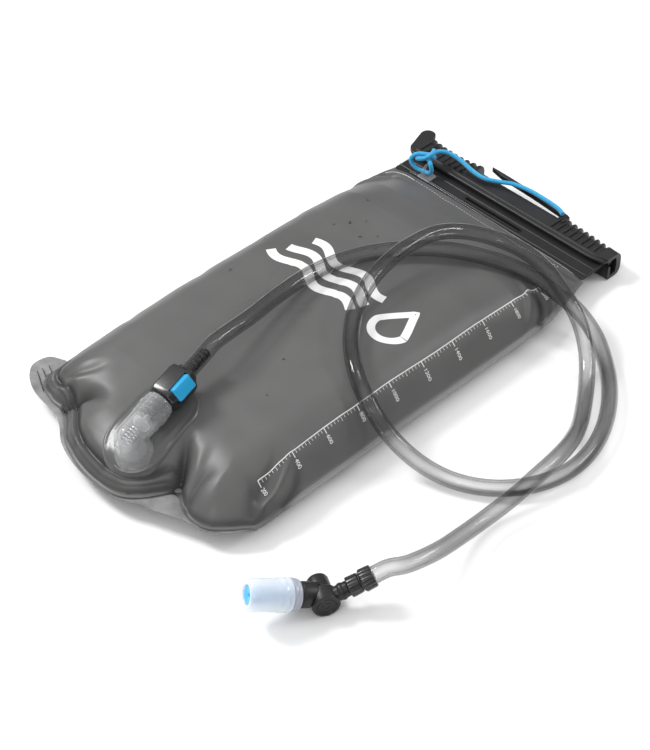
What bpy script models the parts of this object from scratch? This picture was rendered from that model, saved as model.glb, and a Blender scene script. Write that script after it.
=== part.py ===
"""Hydration bladder, two litres: a welded film reservoir with a slide-on mouth
closure, a quick-release drink port, a free drink tube and a bite valve with a
rotating shut-off.

Row frame: +Z up, +Y along the bag from its base to its mouth, +X across the
bag.  The origin is at the centre of the footprint, on the surface the bag
lies on.  Lengths below are in millimetres and become metres at MM.
"""
import math

import bmesh
import bpy
from mathutils import Matrix, Vector

MM = 0.001

# ----------------------------------------------------------------- dimensions
FILM_T = 0.9            # film thickness
FLANGE_W = 5.0          # width of the welded edge
FLANGE_Z = 12.4         # height of the welded edge over the floor
BACK_Z = 9.4            # underside of the back film at its welded edge
GUSSET_LIFT = 1.3       # extra lift of the front film over the bottom gusset
EDGE_RUN = 34.0         # run from the welded edge to full height
STRIP_Y0, STRIP_Y1 = 144.4, 173.5   # mouth strips, film edge to bead
STRIP_X0, STRIP_X1 = -76.0, 84.0
SLIDER_X0, SLIDER_X1 = -80.0, 87.0
SLIDER_TRAVEL = 170.0
GRIP_RIBS = 8           # finger ribs on each third of the slider
SLIDER_REAR = [(-80, 1.42), (-66, 1.25), (-53, 1.18), (-44, 1.32), (-36, 1.5),
               (-34.8, 1.5), (-33.6, 0.72), (36.2, 0.72), (37.4, 1.2), (50, 1.14),
               (66, 1.0), (78, 0.86), (87, 0.78)]   # how far its back stands out
TUBE_R = 5.0            # drink tube, outer radius
TUBE_BORE = 3.7
PORT_ORIGIN = (15.8, -164.4, 40.4)  # centre of the elbow
PORT_YAW, PORT_PITCH = 8.0, 13.0    # degrees
PLUG_TRAVEL = 22.0
POPPET_TRAVEL = 1.2
BUTTON_TILT = 32.0      # button faces out and up by this much
BUTTON_TRAVEL = 1.2
VALVE_FACE = (160.1, -153.0, 8.2)   # centre of the shut-off barrel's face
VALVE_AXIS = (0.885, -0.465, 0.0)   # barrel axis, out of its face
ARM_PITCH = 18.0        # mouthpiece arm over the horizontal
STEM_PITCH = 22.0       # hose stem over the horizontal

# Plan outline of the front film's welded edge.
OUT_BOTTOM = [(-80, -148), (-74, -156), (-62, -160), (-52, -161), (-43, -166),
              (-30, -176), (-12, -182.5), (8, -185), (24, -182.5), (34, -175),
              (40, -166), (44, -159.5), (49, -159), (56, -163), (66, -166),
              (77, -164), (86, -156), (95, -144)]
OUT_LEFT = [(-80, -148), (-81, -120), (-81, 0), (-81, 110), (-80, 130), (-77, 144)]
OUT_RIGHT = [(95, -144), (95, -100), (95, 0), (95, 90), (91, 118), (85, 144)]
# Height of the front film along the bag's middle.
CROWN = [(-185, 30), (-165, 30.5), (-150, 32.5), (-135, 35), (-120, 37.5),
         (-100, 39.5), (-60, 41.5), (0, 42), (50, 41), (85, 36.5), (110, 29),
         (128, 21), (144, 14.4)]
# Route of the tether, from its knot to where it is held in the slider.
TETHER_ROUTE = [(-57.2, 157.2, 25.2), (-57.9, 161.0, 25.4), (-56.3, 165.6, 24.9),
                (-51.5, 169.6, 23.3), (-43.0, 171.0, 21.3), (-31.0, 169.4, 20.1),
                (-21.0, 169.6, 19.8), (-12.0, 174.0, 19.7), (-3.8, 178.6, 19.7),
                (7.4, 181.0, 19.6), (21.0, 181.2, 19.5), (32.5, 180.2, 19.4),
                (38.4, 178.0, 19.4)]
# Route of the drink tube, from the plug's barb to the bite valve's collar.
TUBE_ROUTE = [
    (4.7, -77.9, 56.2), (0.9, -57.9, 54.6), (-3.2, -38.6, 52.2), (-6.3, -19.3, 49.9),
    (-7.3, 0.2, 48.4), (-4.6, 19.5, 47.5), (2.1, 37.9, 47.0), (12.1, 54.7, 46.4),
    (24.4, 69.9, 45.2), (38.7, 83.2, 42.9), (54.3, 94.4, 39.4), (70.8, 103.6, 34.5),
    (86.9, 110.7, 25.9), (103.5, 115.8, 16.8), (120.9, 113.4, 8.9), (137.2, 103.2, 5.4),
    (151.7, 90.0, 5.4), (164.0, 74.9, 5.4), (174.0, 58.0, 5.4), (180.7, 39.6, 5.4),
    (182.7, 20.2, 5.4), (178.6, 1.1, 5.4), (168.8, -15.8, 5.4), (154.5, -29.1, 5.6),
    (136.9, -38.5, 7.5), (119.0, -44.4, 13.5), (103.2, -48.4, 24.5), (89.0, -48.5, 36.2),
    (73.3, -43.3, 44.0), (57.5, -32.3, 47.2), (43.7, -18.4, 48.2), (32.9, -2.2, 50.9),
    (26.3, 15.8, 54.4), (23.7, 35.0, 57.4), (23.5, 54.6, 58.0), (24.7, 73.9, 55.5),
    (30.9, 91.5, 49.8), (43.5, 104.4, 44.8), (62.0, 110.3, 42.6), (81.2, 109.4, 40.4),
    (99.5, 106.0, 34.0), (116.0, 102.0, 24.6), (129.8, 94.0, 13.8), (141.8, 81.0, 6.4),
    (153.2, 65.2, 5.4), (163.5, 49.0, 7.1), (171.6, 31.9, 11.9), (176.7, 13.3, 15.4),
    (178.6, -6.2, 15.8), (177.5, -25.2, 11.2), (176.0, -45.2, 8.6), (177.2, -67.5, 11.9),
    (179.1, -89.6, 17.6), (176.9, -111.0, 22.0)]


# -------------------------------------------------------------------- helpers
def clear_scene():
    for ob in list(bpy.data.objects):
        bpy.data.objects.remove(ob, do_unlink=True)


def catmull(points, steps):
    """Points along a smooth curve through the given ones."""
    pts = [Vector(p) for p in points]
    ext = [2 * pts[0] - pts[1]] + pts + [2 * pts[-1] - pts[-2]]
    out = []
    for i in range(len(pts) - 1):
        a, b, c, d = ext[i:i + 4]
        for k in range(steps):
            t = k / steps
            out.append(0.5 * (2 * b + (c - a) * t + (2 * a - 5 * b + 4 * c - d) * t * t
                              + (3 * b - a - 3 * c + d) * t ** 3))
    out.append(pts[-1])
    return out


def resample(points, count):
    """The same polyline with points a constant distance apart."""
    run = [0.0]
    for a, b in zip(points, points[1:]):
        run.append(run[-1] + (b - a).length)
    out, j = [], 0
    for i in range(count):
        s = run[-1] * i / (count - 1)
        while j < len(points) - 2 and run[j + 1] < s:
            j += 1
        t = (s - run[j]) / max(run[j + 1] - run[j], 1e-9)
        out.append(points[j].lerp(points[j + 1], min(max(t, 0.0), 1.0)))
    return out


def lerp_table(table, v):
    if v <= table[0][0]:
        return table[0][1]
    for (a, p), (b, q) in zip(table, table[1:]):
        if v <= b:
            return p + (q - p) * (v - a) / (b - a)
    return table[-1][1]


def material(name, color, rough=0.5, metal=0.0, alpha=1.0):
    m = bpy.data.materials.new(name)
    m.use_nodes = True
    p = m.node_tree.nodes["Principled BSDF"]
    p.inputs["Base Color"].default_value = (*color, 1.0)
    p.inputs["Roughness"].default_value = rough
    p.inputs["Metallic"].default_value = metal
    p.inputs["Alpha"].default_value = alpha
    m.diffuse_color = (*color, alpha)
    return m


def add_object(name, verts, faces, mat, origin=(0, 0, 0), parent=None, smooth=35.0):
    """A mesh object from points in mm, in the parent's frame (row frame when
    there is none); origin is the object's own origin there."""
    me = bpy.data.meshes.new(name)
    o = Vector(origin)
    me.from_pydata([tuple((Vector(v) - o) * MM) for v in verts], [], faces)
    me.validate()
    bm = bmesh.new()
    bm.from_mesh(me)
    bmesh.ops.remove_doubles(bm, verts=bm.verts, dist=1e-7)
    bmesh.ops.recalc_face_normals(bm, faces=bm.faces)
    bm.to_mesh(me)
    bm.free()
    me.shade_smooth()
    me.set_sharp_from_angle(angle=math.radians(smooth))
    me.materials.append(mat)
    ob = bpy.data.objects.new(name, me)
    bpy.context.scene.collection.objects.link(ob)
    ob.parent = parent
    ob.location = o * MM
    return ob


def frame_empty(name, location, rotation):
    e = bpy.data.objects.new(name, None)
    e.empty_display_size = 0.01
    e.location = [c * MM for c in location]
    e.rotation_euler = rotation
    bpy.context.scene.collection.objects.link(e)
    return e


def boolean(ob, cutter, op="DIFFERENCE"):
    mod = ob.modifiers.new(op.lower() + "_" + cutter.name, "BOOLEAN")
    mod.operation = op
    mod.object = cutter
    mod.solver = "EXACT"
    cutter.hide_render = True
    cutter.display_type = "WIRE"
    return ob


def turned(profile, seg, axis="Y"):
    """Closed solid turned about an axis.  profile is a closed list of
    (radius, position) running once round the section."""
    verts, faces, ring = [], [], []
    for r, s in profile:
        if r < 1e-6:
            ring.append([len(verts)])
            verts.append((0.0, s))
        else:
            ids = []
            for k in range(seg):
                ids.append(len(verts))
                verts.append((r, s, 2 * math.pi * k / seg))
            ring.append(ids)
    pts = []
    for v in verts:
        if len(v) == 2:
            p = (0.0, v[1], 0.0)
        else:
            r, s, a = v
            p = (r * math.cos(a), s, r * math.sin(a))
        pts.append(p if axis == "Y" else (p[0], -p[2], p[1]))
    n = len(profile)
    for i in range(n):
        a, b = ring[i], ring[(i + 1) % n]
        if len(a) == 1 and len(b) == 1:
            continue
        for k in range(seg):
            k2 = (k + 1) % seg
            if len(a) == 1:
                faces.append((a[0], b[k], b[k2]))
            elif len(b) == 1:
                faces.append((a[k], b[0], a[k2]))
            else:
                faces.append((a[k], b[k], b[k2], a[k2]))
    return pts, faces


def prism(outline, lo, hi, axis="Z"):
    """Closed prism over a plan outline, from lo to hi along axis."""
    n = len(outline)
    verts = []
    for h in (lo, hi):
        for u, v in outline:
            verts.append({"Z": (u, v, h), "X": (h, u, v), "Y": (u, h, v)}[axis])
    faces = [tuple(range(n))[::-1], tuple(range(n, 2 * n))]
    for i in range(n):
        j = (i + 1) % n
        faces.append((i, j, n + j, n + i))
    return verts, faces


def box(lo, hi):
    return prism([(lo[0], lo[1]), (hi[0], lo[1]), (hi[0], hi[1]), (lo[0], hi[1])],
                 lo[2], hi[2])


def torus(major, minor, seg, ring, at=0.0):
    prof = [(major + minor * math.cos(2 * math.pi * k / ring),
             at + minor * math.sin(2 * math.pi * k / ring)) for k in range(ring)]
    return turned(prof, seg)


def coil(radius, wire, y0, y1, turns, per_turn=12, sides=6):
    """A helical wire along Y with flat ends."""
    n = int(turns * per_turn)
    verts, faces = [], []
    for i in range(n + 1):
        a = 2 * math.pi * i / per_turn
        y = y0 + (y1 - y0) * i / n
        c = Vector((radius * math.cos(a), y, radius * math.sin(a)))
        out = Vector((math.cos(a), 0, math.sin(a)))
        up = Vector((0, 1, 0))
        for k in range(sides):
            b = 2 * math.pi * k / sides
            verts.append(tuple(c + out * wire * math.cos(b) + up * wire * math.sin(b)))
    for i in range(n):
        for k in range(sides):
            k2 = (k + 1) % sides
            a, b = i * sides, (i + 1) * sides
            faces.append((a + k, b + k, b + k2, a + k2))
    faces.append(tuple(range(sides))[::-1])
    faces.append(tuple(range(n * sides, n * sides + sides)))
    return verts, faces


def tube_curve(name, points, radius, mat, resolution=2):
    cu = bpy.data.curves.new(name, "CURVE")
    cu.dimensions = "3D"
    cu.bevel_depth = radius * MM
    cu.bevel_resolution = resolution
    cu.use_fill_caps = True
    sp = cu.splines.new("POLY")
    sp.points.add(len(points) - 1)
    for p, q in zip(sp.points, points):
        p.co = (q[0] * MM, q[1] * MM, q[2] * MM, 1.0)
    cu.materials.append(mat)
    ob = bpy.data.objects.new(name, cu)
    bpy.context.scene.collection.objects.link(ob)
    return ob


# ------------------------------------------------------------ the film's shape
class Outline:
    """Plan outline of the bag: its edges as polylines, and distance to them."""

    def __init__(self):
        self.bottom = catmull([(x, y, 0) for x, y in OUT_BOTTOM], 6)
        self.left = catmull([(x, y, 0) for x, y in OUT_LEFT], 8)
        self.right = catmull([(x, y, 0) for x, y in OUT_RIGHT], 8)
        self.segs = []
        for line in (self.bottom, self.left, self.right):
            self.segs += list(zip(line, line[1:]))

    def distance(self, x, y):
        best = 1e9
        for a, b in self.segs:
            ex, ey = b.x - a.x, b.y - a.y
            t = ((x - a.x) * ex + (y - a.y) * ey) / (ex * ex + ey * ey)
            t = min(max(t, 0.0), 1.0)
            dx, dy = a.x + t * ex - x, a.y + t * ey - y
            best = min(best, dx * dx + dy * dy)
        return math.sqrt(best)


EDGE = Outline()


def smooth01(t):
    t = min(max(t, 0.0), 1.0)
    return t * t * (3 - 2 * t)


def flange_top(y):
    return FLANGE_Z + GUSSET_LIFT * smooth01((-138 - y) / 14)


def film_top(x, y, d=None):
    """Upper surface of the front film."""
    d = EDGE.distance(x, y) if d is None else d
    t = min(max((d - FLANGE_W) / EDGE_RUN, 0.0), 1.0)
    g = (1 - (1 - t) ** 2.3) ** 0.78
    z = flange_top(y)
    return z + (lerp_table(CROWN, y) - z) * g


def film_bottom(x, y, d=None):
    """Lower surface of the back film: flat on the floor, turned up at the
    welded edges and toward the mouth."""
    d = EDGE.distance(x, y) if d is None else d
    t = min(max((d - FLANGE_W) / 26.0, 0.0), 1.0)
    z = BACK_Z * (1 - t) ** 1.9
    rise = 10.2 * smooth01((y - 92) / 50.0)
    return max(z, rise)


def coons(bottom, top, left, right, us, vs):
    """Points on a patch whose edges are the four polylines."""

    def along(line, t):
        run = [0.0]
        for a, b in zip(line, line[1:]):
            run.append(run[-1] + (b - a).length)
        s = t * run[-1]
        for i in range(len(line) - 1):
            if run[i + 1] >= s or i == len(line) - 2:
                f = (s - run[i]) / max(run[i + 1] - run[i], 1e-9)
                return line[i].lerp(line[i + 1], f)

    p00, p10, p01, p11 = bottom[0], bottom[-1], top[0], top[-1]
    grid = []
    for v in vs:
        row = []
        lv, rv = along(left, v), along(right, v)
        for u in us:
            b, t = along(bottom, u), along(top, u)
            p = ((1 - v) * b + v * t + (1 - u) * lv + u * rv
                 - ((1 - u) * (1 - v) * p00 + u * (1 - v) * p10
                    + (1 - u) * v * p01 + u * v * p11))
            row.append((p.x, p.y))
        grid.append(row)
    return grid


def shell_from_grid(grid, top, bottom):
    """Closed thin solid between two height functions over a plan grid."""
    rows, cols = len(grid), len(grid[0])
    verts = []
    for f in (top, bottom):
        for row in grid:
            for x, y in row:
                verts.append((x, y, f(x, y)))
    off = rows * cols
    faces = []
    for i in range(rows - 1):
        for j in range(cols - 1):
            a = i * cols + j
            q = (a, a + 1, a + cols + 1, a + cols)
            faces.append(q)
            faces.append(tuple(off + k for k in reversed(q)))
    rim = ([j for j in range(cols)]
           + [i * cols + cols - 1 for i in range(1, rows)]
           + [(rows - 1) * cols + j for j in range(cols - 2, -1, -1)]
           + [i * cols for i in range(rows - 2, 0, -1)])
    for k in range(len(rim)):
        a, b = rim[k], rim[(k + 1) % len(rim)]
        faces.append((b, a, off + a, off + b))
    return verts, faces


def spaced(total, near):
    """0..1 stations, close together near both ends."""
    steps = near + [total / 2] + [total - n for n in reversed(near)]
    return [0.0] + [s / total for s in steps] + [1.0]


# --------------------------------------------------------------------- pieces
def build_bag():
    film = material("smoke_film", (0.11, 0.11, 0.115), 0.38, alpha=0.92)
    clear = material("clear_film", (0.62, 0.63, 0.64), 0.3, alpha=0.6)
    us = spaced(176.0, [5.0, 8.5, 13.5, 21.0, 32.0, 48.0, 68.0])
    vs = spaced(300.0, [5.0, 9.5, 16.0, 25.0, 37.0, 52.0, 68.0, 86.0, 106.0, 128.0])
    top = [Vector((OUT_LEFT[-1][0], 144.0, 0)), Vector((OUT_RIGHT[-1][0], 144.0, 0))]
    grid = coons(EDGE.bottom, top, EDGE.left, EDGE.right, us, vs)
    v, f = shell_from_grid(grid, film_top, lambda x, y: film_top(x, y) - FILM_T)
    front = add_object("front_panel", v, f, film)

    def back_low(x, y):
        return film_bottom(x, y)

    def back_high(x, y):
        # never above the underside of the front film
        return min(film_bottom(x, y) + FILM_T, film_top(x, y) - FILM_T - 0.35)

    us = spaced(176.0, [5.0, 12.0, 20.0, 31.0, 55.0])
    vs = spaced(300.0, [5.0, 12.0, 20.0, 31.0, 50.0, 80.0, 110.0])
    grid = coons(EDGE.bottom, top, EDGE.left, EDGE.right, us, vs)
    v, f = shell_from_grid(grid, back_high, back_low)
    add_object("back_panel", v, f, material("back_film", (0.10, 0.10, 0.105), 0.4))

    # Clear gusset film: a crescent under the front film's base edge, with the
    # grooved tab at the far corner.
    outer = [(-84, -131), (-93.5, -136), (-95, -146), (-89, -154.5), (-79, -160.5),
             (-69, -163), (-60, -164), (-50, -166), (-42, -170), (-30, -178),
             (-12, -183.6), (8, -185.2), (24, -183.5), (34, -179), (45, -175),
             (56, -170.5), (66, -167), (77, -165), (86.5, -157), (94, -146)]
    inner = [(-75, -133), (-77, -138), (-77, -142), (-75, -147), (-70, -151),
             (-63, -153.5), (-56, -154.5), (-48, -156.5), (-39, -160), (-28, -167),
             (-11, -173.5), (8, -176), (21, -174), (29, -169), (36, -160),
             (44, -152), (53, -153.5), (64, -157), (74, -155), (85, -141)]
    oc = catmull([(x, y, 0) for x, y in outer], 2)
    ic = catmull([(x, y, 0) for x, y in inner], 2)
    grid = [[(p.x, p.y) for p in ic], [(p.x, p.y) for p in oc]]
    v, f = shell_from_grid(grid, lambda x, y: flange_top(y) - FILM_T - 0.35,
                           lambda x, y: BACK_Z + FILM_T + 0.35)
    gus = add_object("bottom_gusset", v, f, clear)
    for k, (x0, y0, ang) in enumerate([(-88.5, -148.5, 63), (-84, -150.5, 63)]):
        c, s = math.cos(math.radians(ang)), math.sin(math.radians(ang))
        L, w = 6.5, 0.9
        pts = [(x0 + c * a - s * b, y0 + s * a + c * b)
               for a, b in ((-L, -w), (L, -w), (L, w), (-L, w))]
        v, f = prism(pts, 11.5, 14.0)
        cut = add_object("tab_groove_%d" % (k + 1), v, f, clear)
        boolean(gus, cut)
    return front, film, clear


def build_port(front, clear_mat):
    port = frame_empty("port_axis", PORT_ORIGIN,
                       (math.radians(PORT_PITCH), 0, math.radians(PORT_YAW)))
    bpy.context.view_layer.update()
    m = port.matrix_world.copy()
    black = material("port_black", (0.018, 0.018, 0.02), 0.42)
    rubber = material("seal_rubber", (0.01, 0.01, 0.01), 0.6)
    steel = material("spring_steel", (0.6, 0.6, 0.62), 0.25, metal=1.0)
    blue = material("button_blue", (0.02, 0.36, 0.75), 0.35)
    housing = material("clear_plastic", (0.75, 0.77, 0.78), 0.08, alpha=0.35)
    white = material("valve_white", (0.75, 0.76, 0.77), 0.35)

    # Welded pill-shaped patch that follows the film.
    ax0, ax1, half = Vector((12.0, -156.5, 0)), Vector((8.5, -131.5, 0)), 19.5
    axis = (ax1 - ax0).normalized()
    side = Vector((axis.y, -axis.x, 0))
    run = (ax1 - ax0).length
    rows = [(-half * math.sin(math.radians(d)), half * math.cos(math.radians(d)))
            for d in (82, 66, 50, 35, 20, 8)]
    rows += [(run * k / 6, half) for k in range(7)]
    rows += [(run + half * math.sin(math.radians(d)), half * math.cos(math.radians(d)))
             for d in (8, 20, 35, 50, 66, 82)]
    grid = []
    for along, wide in rows:
        c = ax0 + axis * along
        grid.append([(c.x + side.x * wide * u, c.y + side.y * wide * u)
                     for u in (-1, -0.88, -0.7, -0.48, -0.25, 0, 0.25, 0.48, 0.7, 0.88, 1)])
    verts, faces = shell_from_grid(grid, lambda x, y: film_top(x, y) + 1.5,
                                   lambda x, y: film_top(x, y) + 0.6)
    patch = add_object("port_patch", verts, faces,
                       material("patch_film", (0.13, 0.13, 0.135), 0.3))

    # Hole through patch and film for the elbow's stub.
    v, f = turned([(0, -30), (7.9, -30), (7.9, 4), (0, 4)], 24, axis="Z")
    hole = add_object("stub_hole", v, f, black, parent=port)
    boolean(patch, hole)
    boolean(front, hole)

    # Elbow: capsule along Y and a stub down through the film, bored inside.
    R, ri = 8.6, 6.95
    prof = [(0.0, -R)]
    for k in range(1, 6):
        a = math.radians(18 * k)
        prof.append((R * math.sin(a), -R * math.cos(a)))
    prof += [(R, 19.0), (R + 0.9, 19.6), (R + 0.9, 21.6), (R, 22.2), (R, 27.2),
             (R - 0.5, 28.0), (0.0, 28.0)]
    v, f = turned(prof, 28)
    elbow = add_object("port_elbow", v, f, housing, parent=port)
    v, f = turned([(0, -17.0), (7.5, -17.0), (7.5, -1.0), (0, -1.0)], 24, axis="Z")
    stub = add_object("elbow_stub", v, f, housing, parent=port)
    boolean(elbow, stub, "UNION")
    prof = [(0.0, -ri + 0.3)]
    for k in range(1, 5):
        a = math.radians(22.5 * k)
        prof.append((ri * math.sin(a), -(ri - 0.3) * math.cos(a)))
    prof += [(ri, 13.4), (4.4, 14.2), (4.4, 15.2), (ri, 15.9), (ri, 30.0), (0.0, 30.0)]
    v, f = turned(prof, 28)
    bore = add_object("elbow_bore", v, f, housing, parent=port)
    boolean(elbow, bore)
    v, f = turned([(0, -19.0), (5.6, -19.0), (5.6, -2.0), (0, -2.0)], 24, axis="Z")
    down = add_object("elbow_down_bore", v, f, housing, parent=port)
    boolean(elbow, down)

    # Check valve: domed poppet with a stem, and its spring.
    prof = [(0, 7.4), (2.6, 7.7), (4.6, 8.8), (5.6, 10.6), (5.6, 12.0), (4.0, 12.4),
            (1.7, 12.6), (1.7, 16.9), (1.2, 17.4), (0, 17.4)]
    v, f = turned(prof, 20)
    add_object("check_valve_poppet", v, f, white, parent=port, origin=(0, 7.4, 0))
    v, f = coil(3.6, 0.4, -3.6, 6.9, 4.0)
    add_object("poppet_spring", v, f, steel, parent=port)

    # Plug: nose with two seal grooves, and a chamfered body with the latch.
    prof = [(3.2, 17.8), (5.6, 17.8), (6.3, 18.8), (6.3, 20.2), (4.9, 20.2), (4.9, 22.2),
            (6.3, 22.2), (6.3, 24.0), (4.9, 24.0), (4.9, 26.0), (6.3, 26.0), (6.3, 28.5),
            (3.2, 28.5)]
    v, f = turned(prof, 24)
    add_object("plug_nose", v, f, black, parent=port)
    for i, y in enumerate((21.2, 25.0)):
        v, f = torus(5.9, 0.74, 24, 8, at=y)
        add_object("plug_o_ring_%d" % (i + 1), v, f, rubber, parent=port)
    w, h = 9.5, 8.3
    sect = [(-w, -4.4), (-5.6, -h), (5.6, -h), (w, -4.4), (w, 3.6), (6.4, h),
            (-6.4, h), (-w, 3.6)]
    v, f = prism(sect, 28.8, 50.0, axis="Y")
    plug = add_object("plug_body", v, f, black, parent=port, smooth=25)
    bev = plug.modifiers.new("edge", "BEVEL")
    bev.width = 0.9 * MM
    bev.segments = 2
    bev.limit_method = "ANGLE"
    bev.angle_limit = math.radians(28)
    v, f = turned([(0, 20), (3.2, 20), (3.2, 60), (0, 60)], 20)
    pb = add_object("plug_bore", v, f, black, parent=port)
    boolean(plug, pb)
    # Button pocket and button, in a frame tilted round the port's axis.
    tilt = Matrix.Rotation(math.radians(-BUTTON_TILT), 4, "Y")

    def tilted(verts):
        return [tuple(tilt @ Vector(q)) for q in verts]

    v, f = box((4.3, 32.6, -4.9), (16.0, 47.4, 4.9))
    pocket = add_object("button_pocket", tilted(v), f, black, parent=port)
    boolean(plug, pocket)
    v, f = box((6.8, 33.0, -4.5), (11.2, 47.0, 4.5))
    btn = add_object("release_button", tilted(v), f, blue, parent=port)
    bev = btn.modifiers.new("edge", "BEVEL")
    bev.width = 1.1 * MM
    bev.segments = 3
    v, f = coil(2.2, 0.26, 4.95, 6.2, 2.5, per_turn=10, sides=5)
    # the coil is made along Y; turn it to lie along X at the button's middle
    sp = [(y, 40.0 + x, z) for x, y, z in v]
    add_object("button_spring", tilted(sp), f, steel, parent=port)
    # Barb that the tube is pushed over, and the tube's end on it.
    prof = [(2.4, 50.3), (3.3, 50.3)]
    for k in range(5):
        y = 51.6 + 3.4 * k
        prof += [(2.9, y), (2.9, y + 0.9), (3.35, y + 1.3), (3.35, y + 3.0)]
    prof += [(2.8, 69.3), (2.4, 69.3)]
    v, f = turned(prof, 16)
    add_object("plug_barb", v, f, black, parent=port)
    v, f = turned([(TUBE_BORE, 50.4), (TUBE_R, 50.4), (TUBE_R, 69.9), (TUBE_BORE, 69.9)], 16)
    add_object("tube_inlet_end", v, f, material("tube_smoke", (0.20, 0.20, 0.20), 0.15,
                                               alpha=0.6), parent=port)
    return m


def slider_profile(x, pocket):
    """Section of the slider at x, a closed list of (y, z)."""
    # the back stands out at the grips; the lip rounds off at its corner
    k = lerp_table(SLIDER_REAR, x)
    lip = 0.0
    if x > 71.0:
        lip = 4.8 * (1.0 - math.sqrt(max(0.0, 1.0 - ((x - 71.0) / 16.0) ** 2)))
    if x < -77.0:
        lip = 3.0 * ((-77.0 - x) / 3.0) ** 2
    cut = 1.6 if pocket else 0.0
    cy, cz, ro = 171.5, 8.75, 8.45
    pts = [(159.5 + lip, 15.3), (159.5 + lip, 16.3), (160.3 + lip, 17.2),
           (165.5, 17.2), (166.2, 17.2 - cut), (171.5, 17.2 - cut)]
    for a in (65, 38, 12, -12, -38, -65):
        r = ro - cut
        c, q = math.cos(math.radians(a)), math.sin(math.radians(a))
        pts.append((cy + r * 1.08 * k * c ** 0.6,
                    cz + math.copysign(r * abs(q) ** 0.7, q)))
    pts += [(171.5, 0.3), (167.0, 0.3), (166.2, 1.1), (166.2, 9.6), (167.0, 10.4),
            (168.4, 10.4), (168.4, 3.0), (171.5, 3.0)]
    pts += [(173.9, 4.0), (174.4, 8.75), (173.9, 13.6), (173.2, 14.7)]
    pts += [(170.6, 14.7), (168.6, 14.7), (168.3, 14.0), (166.4, 14.0), (166.0, 15.0),
            (160.4 + lip, 15.0)]
    return pts


def build_slider():
    black = material("slider_black", (0.02, 0.02, 0.021), 0.5)
    stations = [(SLIDER_X0, False), (-78.5, False)]
    # far third and near third carry the grip pockets
    for lo, hi in ((-76.0, -36.0), (38.5, 78.5)):
        pitch = (hi - lo) / GRIP_RIBS
        for i in range(GRIP_RIBS):
            a = lo + pitch * i
            stations += [(a + 0.9, False), (a + 1.1, True), (a + pitch - 0.9, True),
                         (a + pitch - 0.7, False)]
        if lo < 0:
            stations += [(-34.8, False), (-33.6, False), (0.0, False), (36.2, False),
                         (37.4, False)]
    stations += [(82.0, False), (84.5, False), (86.2, False), (SLIDER_X1, False)]
    stations.sort(key=lambda s: s[0])
    verts, faces = [], []
    for x, pocket in stations:
        for y, z in slider_profile(x, pocket):
            verts.append((x, y, z))
    n = len(slider_profile(0, False))
    for i in range(len(stations) - 1):
        for k in range(n):
            k2 = (k + 1) % n
            a, b = i * n, (i + 1) * n
            faces.append((a + k, b + k, b + k2, a + k2))
    faces.append(tuple(range(n))[::-1])
    last = (len(stations) - 1) * n
    faces.append(tuple(range(last, last + n)))
    # A closed end wall and rounded ear at the far end.
    body = add_object("slide_closure", verts, faces, black, origin=(SLIDER_X0, 171.5, 8.7))
    ear = [(-77.6, 160.6), (-82.5, 163.5)]
    for k in range(9):
        a = math.radians(200 - 25 * k)
        ear.append((-82.6 + 5.2 * math.cos(a), 180.8 + 5.4 * math.sin(a)))
    ear += [(-75.6, 181.0), (-75.6, 176.0)]
    v, f = prism(ear, 13.9, 17.1)
    e1 = add_object("ear_blank", v, f, black)
    boolean(body, e1, "UNION")
    wall = [(-82.0, 166.5), (-82.0, 178.5), (-78.9, 179.5), (-78.9, 166.3)]
    v, f = prism(wall, 0.5, 16.0)
    e2 = add_object("end_wall_blank", v, f, black)
    boolean(body, e2, "UNION")
    # Hanger hook behind the middle: an arched bar open at its far end.
    outer, inner = [], []
    for k in range(13):
        t = k / 12
        x = -29.0 + 68.0 * t
        y = 186.5 - 3.6 * t * t
        outer.append((x, y))
        inner.append((x + 0.4, y - 0.8 - 2.2 * min(1.0, t / 0.14)))
    hook = outer + [(41.5, 182.0), (41.5, 175.0), (37.6, 175.0), (37.6, 179.6)] \
        + [p for p in reversed(inner) if p[0] < 37.0]
    v, f = prism(hook, 12.6, 16.2)
    e3 = add_object("hook_blank", v, f, black)
    boolean(body, e3, "UNION")
    return body


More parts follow.
